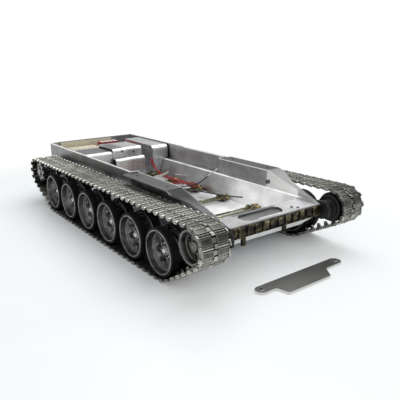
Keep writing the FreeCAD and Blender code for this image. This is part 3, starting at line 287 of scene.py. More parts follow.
def turned_metal(name, light, dark, rough):
    """Lathe-turned metal with fine tool rings about Y."""
    s = Shader(name)
    rings = s.noise(1.0, s.stretch((300.0, 4200.0, 300.0)), detail=2.0)
    tone = s.mix(s.spread(s.noise(160.0)), grey(dark), grey(light))
    tone = s.mix(s.edges(), tone, grey(min(1.0, light * 1.3)))
    return s.finish(Base_Color=tone, Metallic=1.0,
                    Roughness=s.times(s.spread(rings, 0.8, 1.25), rough),
                    Normal=s.bump(rings, 0.12))


def brass_metal(name):
    s = Shader(name)
    clouds = s.noise(260.0)
    tone = s.mix(s.spread(clouds), (0.2, 0.14, 0.05, 1), (0.44, 0.33, 0.14, 1))
    # painted shade in the hollows
    return s.finish(Base_Color=s.painted_hollow_shade(tone, 0.006, 0.2, 0.9, 0.3), Metallic=1.0,
                    Roughness=s.spread(clouds, 0.2, 0.38), Normal=s.bump(s.noise(2600.0), 0.1))


def rubber(name):
    s = Shader(name)
    dust = s.noise(120.0, detail=6.0)
    tone = s.mix(s.remap(dust, 0.4, 0.75), (0.003, 0.003, 0.0034, 1), (0.011, 0.011, 0.012, 1))
    # painted shade in the hollows
    return s.finish(Base_Color=s.painted_hollow_shade(tone, 0.01, 0.2, 0.8, 0.2), Specular_IOR_Level=0.16,
                    Roughness=s.spread(dust, 0.5, 0.7),
                    Normal=s.bump(s.noise(2200.0, detail=3.0), 0.3, 0.0001))


def plastic(name, colour, rough=0.38, speck=0.25):
    s = Shader(name)
    clouds = s.noise(400.0)
    shade = tuple(part * (1 - speck) for part in colour)
    return s.finish(Base_Color=s.mix(s.spread(clouds), shade + (1,), colour + (1,)),
                    Roughness=s.spread(clouds, rough - 0.06, rough + 0.1),
                    Normal=s.bump(s.noise(3000.0), 0.08))


def sleeved_wire(name):
    """Black insulation with a pale metal sleeve on the raised end."""
    s = Shader(name)
    clouds = s.noise(400.0)
    black = s.mix(s.spread(clouds), (0.01, 0.01, 0.012, 1), (0.02, 0.02, 0.022, 1))
    sleeve = s.remap(s.axes()[2], 0.0575, 0.058)
    return s.finish(Base_Color=s.mix(sleeve, black, (0.62, 0.62, 0.58, 1)),
                    Roughness=s.spread(clouds, 0.3, 0.45), Normal=s.bump(s.noise(3000.0), 0.08))


def hull_floor(s, z):
    return s.below(z, FLOOR_TOP, FLOOR_TOP + 0.0004)


def hull_highlight_masks(s):
    """Masks of the hull's folded edges that get painted highlights: long crease, flange edges, nose
    slopes.
    """
    x, y, z = s.axes()
    out = s.size(y)
    inner = s.below(out, 0.0586, 0.0592)
    crease = s.times(s.inside(z, CREASE, 0.0573), s.inside(x, -0.1, 0.152, 0.01),
                     s.inside(out, 0.05, 0.0588))
    flange = s.times(s.inside(x, FLANGE_START, SLOPE_START), s.remap(z, 0.0755, 0.0758), inner)
    near_top = s.times(s.below(y, -0.058, -0.0575), s.remap(z, 0.0772, 0.0775))
    far_top = s.times(s.remap(z, 0.0765, 0.0768), s.inside(x, -0.066, FLANGE_START, 0.004),
                      s.remap(y, 0.0, 0.01))
    slope = s.times(s.inside(x, SLOPE_START, SLOPE_END), s.remap(z, 0.0545, 0.055), inner,
                    s.remap(out, 0.0568, 0.0572))
    return crease, s.most(flange, near_top, far_top), slope


def hull_painted_shading(s, clouds):
    """Painted light and shade on the hull by place: low walls painted brighter towards the nose, upper
    walls duller towards it, flanges, slopes, deck opening and outer walls painted dark as shade; a
    cloudy tone on the floor and a fine mottle over all."""
    x, y, z = s.axes()
    out = s.size(y)
    # low walls painted brighter towards the nose and upper walls darker towards it: painted reflection
    low_wall = s.remap(s.blend(0.03, x, clouds), 0.02, 0.085, 0.62, 1.28)
    shade = s.blend(s.remap(z, 0.0568, 0.0576), low_wall, s.remap(x, -0.03, 0.05, 0.84, 0.68))
    front = s.times(s.remap(x, FLANGE_START - 0.0004, FLANGE_START),
                    s.remap(out, 0.0574, 0.0578))
    right_slope = s.remap(x, 0.125, 0.145, 0.02, 0.13)
    deck = s.times(s.below(out, 0.0572, 0.0576), s.remap(x, 0.1542, 0.1548),
                   s.remap(z, 0.0522, 0.0526))
    outward = s.times(s.facing("Y"), s.remap(y, -0.01, 0.01, -1.0, 1.0))
    # each place below is painted its own light or shade; the floor's is a cloudy tone
    for mask, tone in (
            (hull_floor(s, z), s.remap(clouds, 0.35, 0.65, 0.8, 1.25)),
            # nose flanges, their slopes and their outer rims, painted dark as shade
            (s.times(front, s.remap(z, 0.0744, 0.0749)), 0.17),
            (s.times(front, s.remap(x, 0.1088, 0.1096)),
             s.blend(s.remap(y, -0.01, 0.01), right_slope, 0.4)),
            (s.times(front, s.remap(out, 0.0762, 0.0766)), s.remap(y, -0.01, 0.01, 0.3, 0.6)),
            # nose deck painted darker, the walls of its opening and the strip behind that painted dark
            # as shade and shadow, the front lip painted darker
            (deck, s.remap(y, -0.05, 0.05, 0.62, 0.85)),
            (s.times(deck, s.inside(x, 0.1575, 0.1795), s.below(s.facing("Z"), 0.5, 0.7)), 0.16),
            (s.times(deck, s.inside(x, 0.1546, 0.1592), s.inside(y, -0.035, 0.0215)), 0.3),
            (s.remap(x, 0.1806, 0.181), 0.4),
            # outer walls, painted dark as shade
            (s.times(s.remap(outward, 0.4, 0.6), s.below(z, 0.0765, 0.077)),
             s.remap(z, 0.056, 0.06, 0.04, 0.34))):
        shade = s.blend(mask, shade, tone)
    mottle = s.noise(55.0, roughness=0.65)
    return s.times(shade, s.remap(mottle, 0.35, 0.65, 0.84, 1.12))


def hull_frost(s):
    """Frosted floor and nose walls against the shinier sheet elsewhere."""
    x, _, z = s.axes()
    wall = s.times(s.remap(x, 0.03, 0.1), s.below(z, 0.055, 0.057))
    return s.blend(s.most(hull_floor(s, z), wall), 1.0, 0.4)


def hull_glow_highlights(s, clouds):
    """Painted highlights along the folds, and painted bounce light on the floor and low walls, given as
    emission.
    """
    x, y, z = s.axes()
    crease, edge, slope = hull_highlight_masks(s)
    floor = s.times(hull_floor(s, z), s.remap(x, 0.03, 0.1, 0.0, 0.2))
    wall = s.times(s.inside(z, 0.0325, CREASE), s.inside(x, 0.075, 0.11, 0.04), 0.3,
                   s.remap(clouds, 0.35, 0.65, 0.5, 1.3))
    nose = s.times(s.inside(x, SLOPE_START, SLOPE_END - 0.001), s.remap(z, 0.057, 0.0575), 0.1,
                   s.remap(y, -0.01, 0.01))
    total = s.most(s.times(s.most(floor, wall), s.below(s.size(y), 0.058, 0.0585)), nose,
                   s.times(crease, s.remap(clouds, 0.3, 0.6, 0.35, 0.7)), s.times(edge, 0.4),
                   s.times(slope, s.remap(y, -0.01, 0.01, 0.14, 0.34)))
    return s.times(total, s.remap(z, 0.0316, 0.0319))


def cover_streaks_and_painted_shading(s, clouds):
    """Brushing streaks on the fronts, with painted light and shade: the right cover's fronts and the
    side faces painted brighter, the right cover's top painted duller and the low parts behind painted
    brighter.
    """
    x, y, _ = s.world_axes()
    left = s.remap(y, -0.005, 0.005)
    streaks = s.noise(1.0, s.stretch((1.0, 230.0, 5.0)), detail=3.0)
    front = s.times(s.remap(streaks, 0.38, 0.62, 0.85, 1.2), s.blend(left, 1.9, 1.0))
    front = s.blend(s.remap(s.size(s.facing("Y")), 0.6, 0.8), front, 1.5)
    tops = s.blend(left, s.remap(x, -0.165, -0.16, 1.5, 0.4), s.remap(x, -0.19, -0.185, 1.5, 1.2))
    return s.blend(s.remap(s.facing("Z"), 0.6, 0.85), front, tops)


def plate_painted_edge_highlight(s, clouds):
    """Painted highlight: the side faces round the loose plate's top face are painted up to 3.4 times
    brighter.
    """
    return s.remap(s.facing("Z"), 0.55, 0.9, 3.4, 1.0)


def rim_painted_highlight(edge):
    """Painted highlight: the rim outside the radius edge painted 1.8 times brighter, mottled paint
    inside it.
    """
    def shade(s, patches):
        bright = s.remap(s.radius(), edge, edge + 0.0003)
        return s.blend(bright, s.spread(patches, 0.7, 1.25), 1.8)
    return shade


def track_painted_shading(s, patches):
    """Painted light and shade on the links: ground run and low rear turn painted dark, the front turn
    darker at the top and brighter at its foot, links towards the back brighter; uneven patches over
    all.
    """
    x, _, z = s.axes()
    shade = s.blend(s.remap(x, 0.165, 0.185), s.remap(z, 0.004, 0.012, 0.25, 1.0),
                    s.remap(z, 0.035, 0.058, 1.15, 0.5))
    shade = s.blend(s.times(s.remap(x, 0.17, 0.2), s.below(z, 0.02, 0.03)), shade, 1.6)
    shade = s.times(shade, s.remap(x, -0.11, -0.05, 1.6, 1.0))
    shade = s.blend(s.times(s.below(x, -0.19, -0.15), s.below(z, 0.056, 0.062)), shade, 0.12)
    return s.times(shade, s.spread(patches, 0.8, 1.2))


def pin_painted_highlight(s, patches):
    """The links' painted light and shade, but with pin ends given a painted highlight along the ground
    run.
    """
    return s.blend(s.below(s.axes()[2], 0.0045, 0.007), track_painted_shading(s, patches), 0.9)


def fitting_metal(name):
    """Blackened plate with scraps of bare brass and cream showing in uneven patches, painted shade in
    its hollows, and its top painted brighter as painted light.
    """
    s = Shader(name)
    patches = s.noise(1.0, s.stretch((60.0, 110.0, 190.0)), detail=5.0, roughness=0.7)
    grains = s.noise(900.0, detail=3.0)
    tone = s.mix(s.remap(patches, 0.48, 0.56), (0.012, 0.01, 0.007, 1), (0.12, 0.1, 0.05, 1))
    tone = s.mix(s.remap(patches, 0.61, 0.68), tone, (0.34, 0.3, 0.2, 1))
    # painted shade in the hollows; the top painted 1.6 times brighter and the lower part 0.75 as
    # painted light
    tone = s.scaled(s.painted_hollow_shade(tone, 0.004, 0.2, 0.9, 0.15),
                    s.remap(s.axes()[2], 0.05, 0.0525, 0.75, 1.6))
    return s.finish(Base_Color=tone, Metallic=0.7, Roughness=s.spread(grains, 0.25, 0.5),
                    Normal=s.bump(grains, 0.3, 0.0001))


HULL = brushed_metal("hull_brushed_aluminium", 0.82, 0.66, (26.0, 1500.0, 1500.0), 0.34, -0.012,
                     painted_light_by_place=hull_painted_shading, frost=hull_frost, painted_glow=hull_glow_highlights, hollow=0.02, deep=0.72)
COVER = brushed_metal("cover_satin_silver", 0.7, 0.55, (900.0, 40.0, 900.0), 0.3, -0.012, 30.0, 0.1,
                      painted_light_by_place=cover_streaks_and_painted_shading)
PLATE = brushed_metal("plate_brushed_steel", 0.25, 0.19, (1700.0, 22.0, 1700.0), 0.34, 0.05,
                      painted_light_by_place=plate_painted_edge_highlight)
FRONT = fitting_metal("front_plate_bronzed")
TRACK = cast_metal("track_cast_steel", 0.24, 0.1, 0.36, 0.85, warm=0.1, hollow=0.004, edge=0.7,
                   painted_light_by_place=track_painted_shading, deep=0.03)
TRACK_PIN = cast_metal("track_pin_steel", 0.36, 0.17, 0.28, warm=0.1, hollow=0.003, edge=0.7,
                       painted_light_by_place=pin_painted_highlight, deep=0.03)
WHEEL = cast_metal("wheel_painted_metal", 0.24, 0.09, 0.22, 0.95, hollow=0.008, edge=0.0,
                   strength=0.2, painted_light_by_place=rim_painted_highlight(0.0205), deep=0.06)
IDLER = cast_metal("idler_painted_metal", 0.2, 0.11, 0.28, 0.95, warm=0.05, hollow=0.008, edge=0.0,
                   strength=0.2, painted_light_by_place=rim_painted_highlight(0.0147), deep=0.06)
WHEEL_CAP = turned_metal("wheel_cap_polished", 0.6, 0.42, 0.2)
GEAR = turned_metal("gear_machined_steel", 0.55, 0.38, 0.3)
MOTOR = turned_metal("motor_can_steel", 0.6, 0.45, 0.28)
DARK = cast_metal("blackened_steel", 0.1, 0.05, 0.34, strength=0.15)
SCREW = turned_metal("screw_zinc", 0.6, 0.4, 0.2)
BRASS = brass_metal("anchor_brass")
MOUNT = cast_metal("mount_black_steel", 0.03, 0.012, 0.5, 0.6, strength=0.2, edge=0.2)
OLIVE = cast_metal("bracket_olive_steel", 0.1, 0.05, 0.36, warm=0.16, strength=0.15)
# dark tone of the deck tray: painted shade inside the deck opening
TRAY_SHADE = brushed_metal("tray_satin_sheet", 0.22, 0.18, (1500.0, 26.0, 1500.0), 0.4, 0.01)
# near-white lip in the deck opening: painted highlight of its front edge
LIP_HIGHLIGHT = plastic("lip_bare_edge", (0.9, 0.9, 0.88), 0.3, 0.06)
BAR = brushed_metal("spring_bar_steel", 0.42, 0.26, (900.0, 30.0, 900.0), 0.26, 0.3, 60.0)
TYRE = rubber("tyre_rubber")
RED_WIRE = plastic("wire_red", (0.36, 0.014, 0.016))
BLACK_WIRE = sleeved_wire("wire_black")
WHITE_WIRE = plastic("wire_white", (0.62, 0.6, 0.52))
CREAM = plastic("plug_cream", (0.72, 0.66, 0.5))
RED_PLUG = plastic("plug_red", (0.3, 0.02, 0.02))
BOARD = plastic("board_olive", (0.085, 0.07, 0.03), 0.45)


# ---------------------------------------------------------------- mesh helpers

def new_object(name, data):
    made = bpy.data.objects.new(name, data)
    bpy.context.scene.collection.objects.link(made)
    return made


def finish_mesh(mesh, materials, smooth):
    """Adds the materials and shades smooth except over edges sharper than smooth degrees."""
    for material in materials:
        mesh.materials.append(material)
    mesh.shade_smooth()
    mesh.set_sharp_from_angle(angle=math.radians(smooth))
    return new_object(mesh.name, mesh)


def to_object(bm, name, materials, smooth=30):
    """A new object from a bmesh in millimetres."""
    bm.normal_update()
    mesh = bpy.data.meshes.new(name)
    bmesh.ops.scale(bm, vec=(MM, MM, MM), verts=bm.verts)
    bmesh.ops.recalc_face_normals(bm, faces=bm.faces)
    bm.to_mesh(mesh)
    bm.free()
    return finish_mesh(mesh, materials, smooth)


def mirror(bm):
    bmesh.ops.scale(bm, vec=(1, -1, 1), verts=bm.verts)


def close_ring(bm):
    """Welds the ends of a lathed profile that comes back to its start."""
    bmesh.ops.remove_doubles(bm, verts=bm.verts, dist=1e-5)


def span(sign, distances):
    """Two distances from the middle plane as low and high Y, on the side given by sign."""
    return sorted(sign * distance for distance in distances)


def lathe(bm, profile, steps=64, slot=0, shape=None):
    """Turns a profile of (radius, along Y) round Y; shape moves a point by radius and angle."""
    rows = []
    for radius, along in profile:
        if radius < 1e-6:
            rows.append([bm.verts.new((0, along, 0))] * steps)
            continue
        row = []
        for step in range(steps):
            angle = 2 * math.pi * step / steps
            shift = shape(radius, along, angle) if shape else 0.0
            row.append(bm.verts.new((radius * math.cos(angle), along + shift,
                                     radius * math.sin(angle))))
        rows.append(row)
    for near, far in zip(rows, rows[1:]):
        for step in range(steps):
            after = (step + 1) % steps
            corners = []
            for vert in (near[step], near[after], far[after], far[step]):
                if vert not in corners:
                    corners.append(vert)
            if len(corners) > 2:
                bm.faces.new(corners).material_index = slot


def linked(parts, kind):
    """What the parts are linked to, once each and in an order that stays the same."""
    return list(dict.fromkeys(link for part in parts for link in getattr(part, kind)))


def block(bm, low, high, soft=0.0, slot=0, top=None):
    """A box with softened edges; top = (x scale, y scale) narrows its upper face."""
    made = bmesh.ops.create_cube(bm, size=1.0)["verts"]
    low, high = Vector(low), Vector(high)
    size, middle = high - low, (high + low) / 2
    for vert in made:
        narrow = (1, 1)
        if top and vert.co.z > 0:
            narrow = top
        vert.co = Vector((vert.co.x * size.x * narrow[0], vert.co.y * size.y * narrow[1],
                          vert.co.z * size.z)) + middle
    for face in linked(made, "link_faces"):
        face.material_index = slot
    if soft:
        bevelled = bmesh.ops.bevel(bm, geom=linked(made, "link_edges"), offset=soft, segments=2,
                                   affect="EDGES", profile=0.6, clamp_overlap=True)
        for face in bevelled["faces"]:
            face.material_index = slot


def prism(bm, outline, low, high, slot=0, soft=0.0, axis="y"):
    """An outline in the two other axes, in their order, pushed from low to high along axis."""
    def corner(first, second, along):
        return {"x": (along, first, second), "y": (first, along, second),
                "z": (first, second, along)}[axis]

    start = [bm.verts.new(corner(a, b, low)) for a, b in outline]
    finish = [bm.verts.new(corner(a, b, high)) for a, b in outline]
    faces = [bm.faces.new(start), bm.faces.new(finish[::-1])]
    count = len(outline)
    for index in range(count):
        after = (index + 1) % count
        faces.append(bm.faces.new((start[after], start[index], finish[index], finish[after])))
    for face in faces:
        face.material_index = slot
    if soft:
        bmesh.ops.bevel(bm, geom=linked(faces[:2], "edges"), offset=soft, segments=1,
                        affect="EDGES", clamp_overlap=True)


def rod(bm, start, finish, radius, sides=12, slot=0):
    """A round bar between two points."""
    start, finish = Vector(start), Vector(finish)
    run = finish - start
    turn = run.to_track_quat("Z", "Y").to_matrix().to_4x4()
    place = Matrix.Translation((start + finish) / 2) @ turn
    made = bmesh.ops.create_cone(bm, cap_ends=True, segments=sides, radius1=radius,
                                 radius2=radius, depth=run.length, matrix=place)
    for face in linked(made["verts"], "link_faces"):
        face.material_index = slot


def circle_points(radius, count, middle=(0.0, 0.0), start=0.0, sweep=2 * math.pi):
    """Points round a circle, or round part of one when sweep is shorter."""
    whole = abs(sweep - 2 * math.pi) < 1e-6
    last = count if whole else count - 1
    return [(middle[0] + radius * math.cos(start + sweep * index / last),
             middle[1] + radius * math.sin(start + sweep * index / last))
            for index in range(count)]


def stud(bm, middle, radius, sides, low, high, slot=0, soft=0.25, turn=0.0):
    """A round or flat-sided stud along Y, about the X and Z in middle."""
    prism(bm, circle_points(radius, sides, middle, turn), low, high, slot, soft)


def ease(value, low, high):
    """0 up to low, 1 from high on, and a smooth rise between them."""
    share = min(1.0, max(0.0, (value - low) / (high - low)))
    return share * share * (3 - 2 * share)


# ---------------------------------------------------------------- carried-over CAD nodes

def modify(piece, name, kind, **settings):
    made = piece.modifiers.new(name, kind)
    for setting, value in settings.items():
        setattr(made, setting, value)


def dress(node, material, soft):
    """Gives a CAD node its finish, and rounds its edges with modifiers."""
    piece = nodes[node]
    for slot in piece.material_slots:
        slot.material = material
    modify(piece, "weld", "WELD", merge_threshold=0.000002)
    modify(piece, "merge_flat_faces", "DECIMATE", decimate_type="DISSOLVE",
           angle_limit=math.radians(0.6))
    piece.data.shade_smooth()
    modify(piece, "soft_edges", "BEVEL", width=soft * MM, segments=2, limit_method="ANGLE",
           angle_limit=math.radians(32), use_clamp_overlap=True, harden_normals=False)
    modify(piece, "face_normals", "WEIGHTED_NORMAL", keep_sharp=True, weight=80)


for node, material, soft in (
        ("hull_tub", HULL, 0.3), ("gearbox_covers", COVER, 0.35), ("front_plate", FRONT, 0.15),
        ("nose_cover_plate", PLATE, 0.2), ("drive_motors", MOTOR, 0.3),
        ("fixed_axles", DARK, 0.25), ("torsion_bars", BAR, 0.15)):
    dress(node, material, soft)
# the bars look thinner in the photo than the CAD's
modify(nodes["torsion_bars"], "slim", "DISPLACE", strength=-0.45 * MM, mid_level=0.0)
for side in SIDES:
    dress("motor_pinion_" + side, GEAR, 0.08)
    dress("drive_shaft_" + side, GEAR, 0.1)
    dress("sprocket_" + side, WHEEL, 0.2)
    for number in WHEELS:
        dress("swing_arm_%s_%d" % (side, number), DARK, 0.3)


# ---------------------------------------------------------------- road wheels and tyres

RECESSES = 8


def recess(radius, angle, count, narrow, wide, start, finish):
    """0 to 1: how deep a ring of count recesses is, between radii that ease in and out."""
    across = abs(((angle / (2 * math.pi) * count) % 1.0) - 0.5) * 2
    reach = ease(radius, *start) * (1 - ease(radius, *finish))
    return (1 - ease(across, narrow, wide)) * reach


def wheel_recess(radius, along, angle):
    """Oval recesses between the ribs of the dish, on its outer face only."""
    if along < WEB - 0.5:
        return 0.0
    return -2.3 * recess(radius, angle, RECESSES, 0.34, 0.66, (8.3, 9.9), (14.6, 16.2))


def wheel_profile():
    """Half section of a wheel as (radius, along): hub and dish, rims, then the back."""
    rim = 21.3
    edge = WHEEL_HALF
    dish = [(0, 4.3), (1.3, 4.2), (2.3, 3.8), (2.9, 3.1), (3.1, 2.6), (3.5, 2.5), (4.7, 2.4),
            (5.3, 2.0), (5.7, 1.2), (6.3, 0.75), (7.4, 0.6), (8.3, 0.6), (9.0, 0.62),
            (9.9, 0.65), (11.0, 0.7), (12.2, 0.75), (13.4, 0.8), (14.6, 0.9), (15.4, 1.0),
            (16.2, 1.15), (16.9, 1.4), (17.2, 2.2), (17.6, 2.5), (18.5, 2.6), (19.1, 3.0),
            (19.5, 3.8)]
    return [(radius, WEB + along) for radius, along in dish] + [
        (19.7, edge - 0.9), (19.9, edge - 0.3), (20.3, edge), (rim - 0.3, edge),
        (rim, edge - 0.3), (rim, 3.8), (rim - 0.3, 3.5), (18.3, 3.5), (18.0, 3.2), (18.0, -3.2),
        (18.3, -3.5), (rim - 0.3, -3.5), (rim, -3.8), (rim, 0.3 - edge), (rim - 0.3, -edge),
        (20.1, -edge), (19.8, 0.3 - edge), (19.8, -5.6), (19.2, -5.0), (7.0, -5.0),
        (6.5, -5.4), (6.5, 2.3 - edge), (6.2, 2.0 - edge), (2.6, 2.0 - edge),
        (2.6, WEB + 1.2), (0, WEB + 1.2),
    ]


def make_wheel_mesh(side):
    """One wheel, shared by the six of its side."""
    bm = bmesh.new()
    profile = wheel_profile()
    lathe(bm, profile, 96, 0, wheel_recess)
    cap_radius = profile[4][0]
    for face in bm.faces:
        middle = face.calc_center_median()
        if math.hypot(middle.x, middle.z) < cap_radius and middle.y > WEB + 2.4:
            face.material_index = 1
    for index in range(RECESSES):
        angle = 2 * math.pi * index / RECESSES
        middle = (7.1 * math.cos(angle), 7.1 * math.sin(angle))
        stud(bm, middle, 0.75, 6, WEB + 0.4, WEB + 1.15, 1, 0.1, angle)
    if SIDES[side] < 0:
        mirror(bm)
    return bm


def tyre_profile(low, high):
    outer = 23.6
    soft = 0.9
    return [
        (21.34, low + 0.2), (21.7, low), (outer - soft, low), (outer - 0.25, low + 0.28),
        (outer, low + soft), (outer, (low + high) / 2 - 0.3), (outer - 0.22, (low + high) / 2),
        (outer, (low + high) / 2 + 0.3), (outer, high - soft), (outer - 0.25, high - 0.28),
        (outer - soft, high), (21.7, high), (21.34, high - 0.2), (21.34, low + 0.2),
    ]


def make_tyre_mesh():
    bm = bmesh.new()
    for low, high in ((3.75, WHEEL_HALF - 0.3), (0.3 - WHEEL_HALF, -3.75)):
        lathe(bm, tyre_profile(low, high), 72)
    close_ring(bm)
    return bm


def share(source, name, place):
    """The source under its own name, or another object with the same mesh."""
    made = source if source.name == name else new_object(name, source.data)
    made.location = place * MM
    return made


def make_road_wheels(side):
    wheel = to_object(make_wheel_mesh(side), "wheel_disc_%s_1" % side, [WHEEL, WHEEL_CAP], 34)
    tyre = to_object(make_tyre_mesh(), "wheel_tyre_%s_1" % side, [TYRE], 34)
    for number in WHEELS:
        tail = "%s_%d" % (side, number)
        place = joint_place("wheel_%s_spin" % tail)
        disc = share(wheel, "wheel_disc_" + tail, place)
        disc.rotation_euler.y = 0.61 * number
        attach(disc, "wheel_" + tail, "road_wheel_" + tail)
        band = share(tyre, "wheel_tyre_" + tail, place)
        attach(band, "wheel_" + tail, "tyre_" + tail)


# ---------------------------------------------------------------- idlers and return rollers

def idler_recess(radius, along, angle):
    if along < WHEEL_HALF - 7:
        return 0.0
    return -2.0 * recess(radius, angle, 6, 0.22, 0.4, (6.9, 7.7), (9.6, 10.4))


def make_idler(side):
    rim = 15.5
    edge = WHEEL_HALF
    face = edge - 6
    dish = [(0, 3.4), (1.6, 3.3), (2.6, 2.8), (3.0, 2.3), (4.3, 2.2), (4.9, 1.6), (5.4, 0.2),
            (6.2, 0), (6.9, 0), (7.7, 0), (8.6, 0), (9.6, 0), (10.4, 0), (11.6, 0.15),
            (12.3, 0.9)]
    profile = [(radius, face + along) for radius, along in dish] + [
        (12.9, edge - 1.2), (13.4, edge - 0.2), (13.9, edge), (rim - 0.5, edge),
        (rim, edge - 0.5), (rim, 3.9), (rim - 0.4, 3.5), (10.6, 3.5), (10.3, 3.2),
        (10.3, -3.2), (10.6, -3.5), (rim - 0.4, -3.5), (rim, -3.9), (rim, 0.5 - edge),
        (rim - 0.5, -edge), (13.6, -edge), (13.0, 0.6 - edge), (12.0, 5 - edge),
        (5.5, 5 - edge), (5.5, 1 - edge), (2.6, 1 - edge), (2.6, face + 0.5),
        (0, face + 0.5),
    ]
    bm = bmesh.new()
    lathe(bm, profile, 96, 0, idler_recess)
    if SIDES[side] < 0:
        mirror(bm)
    made = to_object(bm, "idler_disc_" + side, [IDLER], 34)
    made.location = joint_place("idler_%s_spin" % side) * MM
    attach(made, "idler_wheel_" + side, "idler_" + side)


def make_roller(side, number):
    node = "return_roller_%s_%d" % (side, number)
    low, high = corners(node)
    half = (high.y - low.y) / 2
    outer = [(2.0, half), (3.0, half), (3.4, half - 0.5), (4.6, half - 0.5), (4.9, half),
             (5.6, half), (6.0, half - 0.4)]
    inner = [(radius, -along) for radius, along in reversed(outer)]
    bm = bmesh.new()
    lathe(bm, outer + inner + outer[:1], 48)
    close_ring(bm)
    made = to_object(bm, "roller_disc_%s_%d" % (side, number), [TYRE])
    made.location = (low + high) / 2 * MM
    attach(made, "roller_%s_%d" % (side, number), node)


# ---------------------------------------------------------------- tracks

class Loop:
    """The closed line through the link pins: four circles and the straight runs between them."""

    def __init__(self, side):
        sprocket, rear, front, idler = (joint_place(joint % side) for joint in (
            "sprocket_%s_spin", "wheel_%s_6_spin", "wheel_%s_1_spin", "idler_%s_spin"))
        corner = CORNER_RADIUS + LINK_HALF
        circles = [(sprocket.xz, END_RADIUS), (Vector((rear.x, corner)), CORNER_RADIUS),
                   (Vector((front.x, corner)), CORNER_RADIUS), (idler.xz, END_RADIUS)]
        tangents = []
        for (centre, radius), (after, next_radius) in zip(circles, circles[1:] + circles[:1]):
            span = after - centre
            along = span.normalized()
            right = Vector((along.y, -along.x))
            lean = (radius - next_radius) / span.length
            normal = along * lean + right * math.sqrt(1 - lean * lean)
            tangents.append((centre + normal * radius, after + normal * next_radius))
        self.pieces = []
        for index, (leave, arrive) in enumerate(tangents):
            centre, radius = circles[(index + 1) % 4]
            away = tangents[(index + 1) % 4][0]
            self.pieces.append(("run", leave, arrive, (arrive - leave).length))
            begin = math.atan2(arrive.y - centre.y, arrive.x - centre.x)
            end = math.atan2(away.y - centre.y, away.x - centre.x)
            sweep = (end - begin) % (2 * math.pi)
            self.pieces.append(("turn", centre, (radius, begin, sweep), radius * sweep))
        self.length = sum(piece[3] for piece in self.pieces)

    def at(self, distance):
        distance %= self.length
        for kind, first, second, length in self.pieces:
            if distance <= length:
                if kind == "run":
                    return first.lerp(second, distance / length)
                radius, begin, sweep = second
                angle = begin + sweep * distance / length
                return first + radius * Vector((math.cos(angle), math.sin(angle)))
            distance -= length
        return self.pieces[0][1]


def link_bodies(bm, long):
    """Shoe of one link: two treaded pads, their pin tubes, the centre guide and cross webs."""
    for sign in (-1, 1):
        near, far = span(sign, (2.3, 13.9))
        block(bm, (-2.95, near, -LINK_HALF), (2.95, far, 1.1), 0.3)
        block(bm, (-4.3, near + 0.5, -0.5), (4.3, far - 0.5, 0.75), 0.15)
        for edge in (-1, 1):
            x = edge * (long / 2 - PIN_OFFSET)
            for tube in ((2.4, 5.5), (5.9, 10.4), (10.8, 13.9)):
                low, high = span(sign, tube)
                rod(bm, (x, low, 0), (x, high, 0), 0.98, 10)
    block(bm, (-2.2, -2.4, -0.9), (2.2, 2.4, 0.9), 0.2)
    block(bm, (-2.5, -1.5, 0.6), (2.5, 1.5, LINK_HALF + 4.2), 0.25, top=(0.42, 0.62))


def pad_treads(bm):
    """Sunk centre of each pad, left by a raised border."""
    tops = [face for face in bm.faces
            if face.normal.z < -0.99 and face.calc_area() > 20
            and face.calc_center_median().z < 0.05 - LINK_HALF]
    bmesh.ops.inset_region(bm, faces=tops, thickness=0.75, use_even_offset=True)
    bmesh.ops.inset_region(bm, faces=tops, thickness=0.22, depth=-0.4, use_even_offset=True)


def stadium(half, radius, count=7):
    """Round-ended outline lying along X."""
    right = circle_points(radius, count, (half, 0), -math.pi / 2, math.pi)
    left = circle_points(radius, count, (-half, 0), math.pi / 2, math.pi)
    return right + left


def link_hardware(bm, long):
    """Pins, end connectors with pin heads, and the centre connector, all at the link's joint."""
    joint = -long / 2
    face = TRACK_HALF_WIDTH - 0.3
    for edge in (-1, 1):
        x = joint + edge * PIN_OFFSET
        rod(bm, (x, -face, 0), (x, face, 0), 0.55, 8, 1)
    for sign in (-1, 1):
        outline = [(joint + x, z) for x, z in stadium(1.35, 1.42)]
        prism(bm, outline, *span(sign, (14.15, face + 0.05)), 1, 0.22)
        for edge in (-1, 1):
            stud(bm, (joint + edge * 1.25, 0), 0.62, 10, *span(sign, (face, face + 0.3)), 2, 0.08)
    block(bm, (joint - 2.0, -1.75, -1.55), (joint + 2.0, 1.75, 1.0), 0.3, 1)
    block(bm, (joint - 0.9, -1.0, -1.95), (joint + 0.9, 1.0, -1.3), 0.2, 1)


def make_track(side):
    """Every link of one track, laid round the loop."""
    loop = Loop(side)
    long = loop.length / LINK_COUNT
    link = bmesh.new()
    link_bodies(link, long)
    link.normal_update()
    pad_treads(link)
    link_hardware(link, long)
    bmesh.ops.recalc_face_normals(link, faces=link.faces)
    link.verts.index_update()
    shape = [vert.co.copy() for vert in link.verts]
    faces = [([vert.index for vert in face.verts], face.material_index) for face in link.faces]
    link.free()
    points, polygons, slots = [], [], []
    for index in range(LINK_COUNT):
        start, finish = loop.at(index * long), loop.at((index + 1) * long)
        run, centre = finish - start, (start + finish) / 2
        turn = Matrix.Rotation(-math.atan2(run.y, run.x), 4, "Y")
        place = Matrix.Translation((centre.x, SIDES[side] * TRACK_MIDDLE, centre.y)) @ turn
        base = len(points)
        points.extend((place @ point) * MM for point in shape)
        polygons.extend([base + corner for corner in around] for around, _ in faces)
        slots.extend(slot for _, slot in faces)
    mesh = bpy.data.meshes.new("track_links_" + side)
    mesh.from_pydata(points, [], polygons)
    mesh.polygons.foreach_set("material_index", slots)
    made = finish_mesh(mesh, (TRACK, TRACK_PIN, DARK), 38)
    attach(made, "hull", "track_" + side)


for side in SIDES:
    make_road_wheels(side)
    make_idler(side)
    make_track(side)
    for number in ROLLERS:
        make_roller(side, number)


# ---------------------------------------------------------------- torsion bar anchors

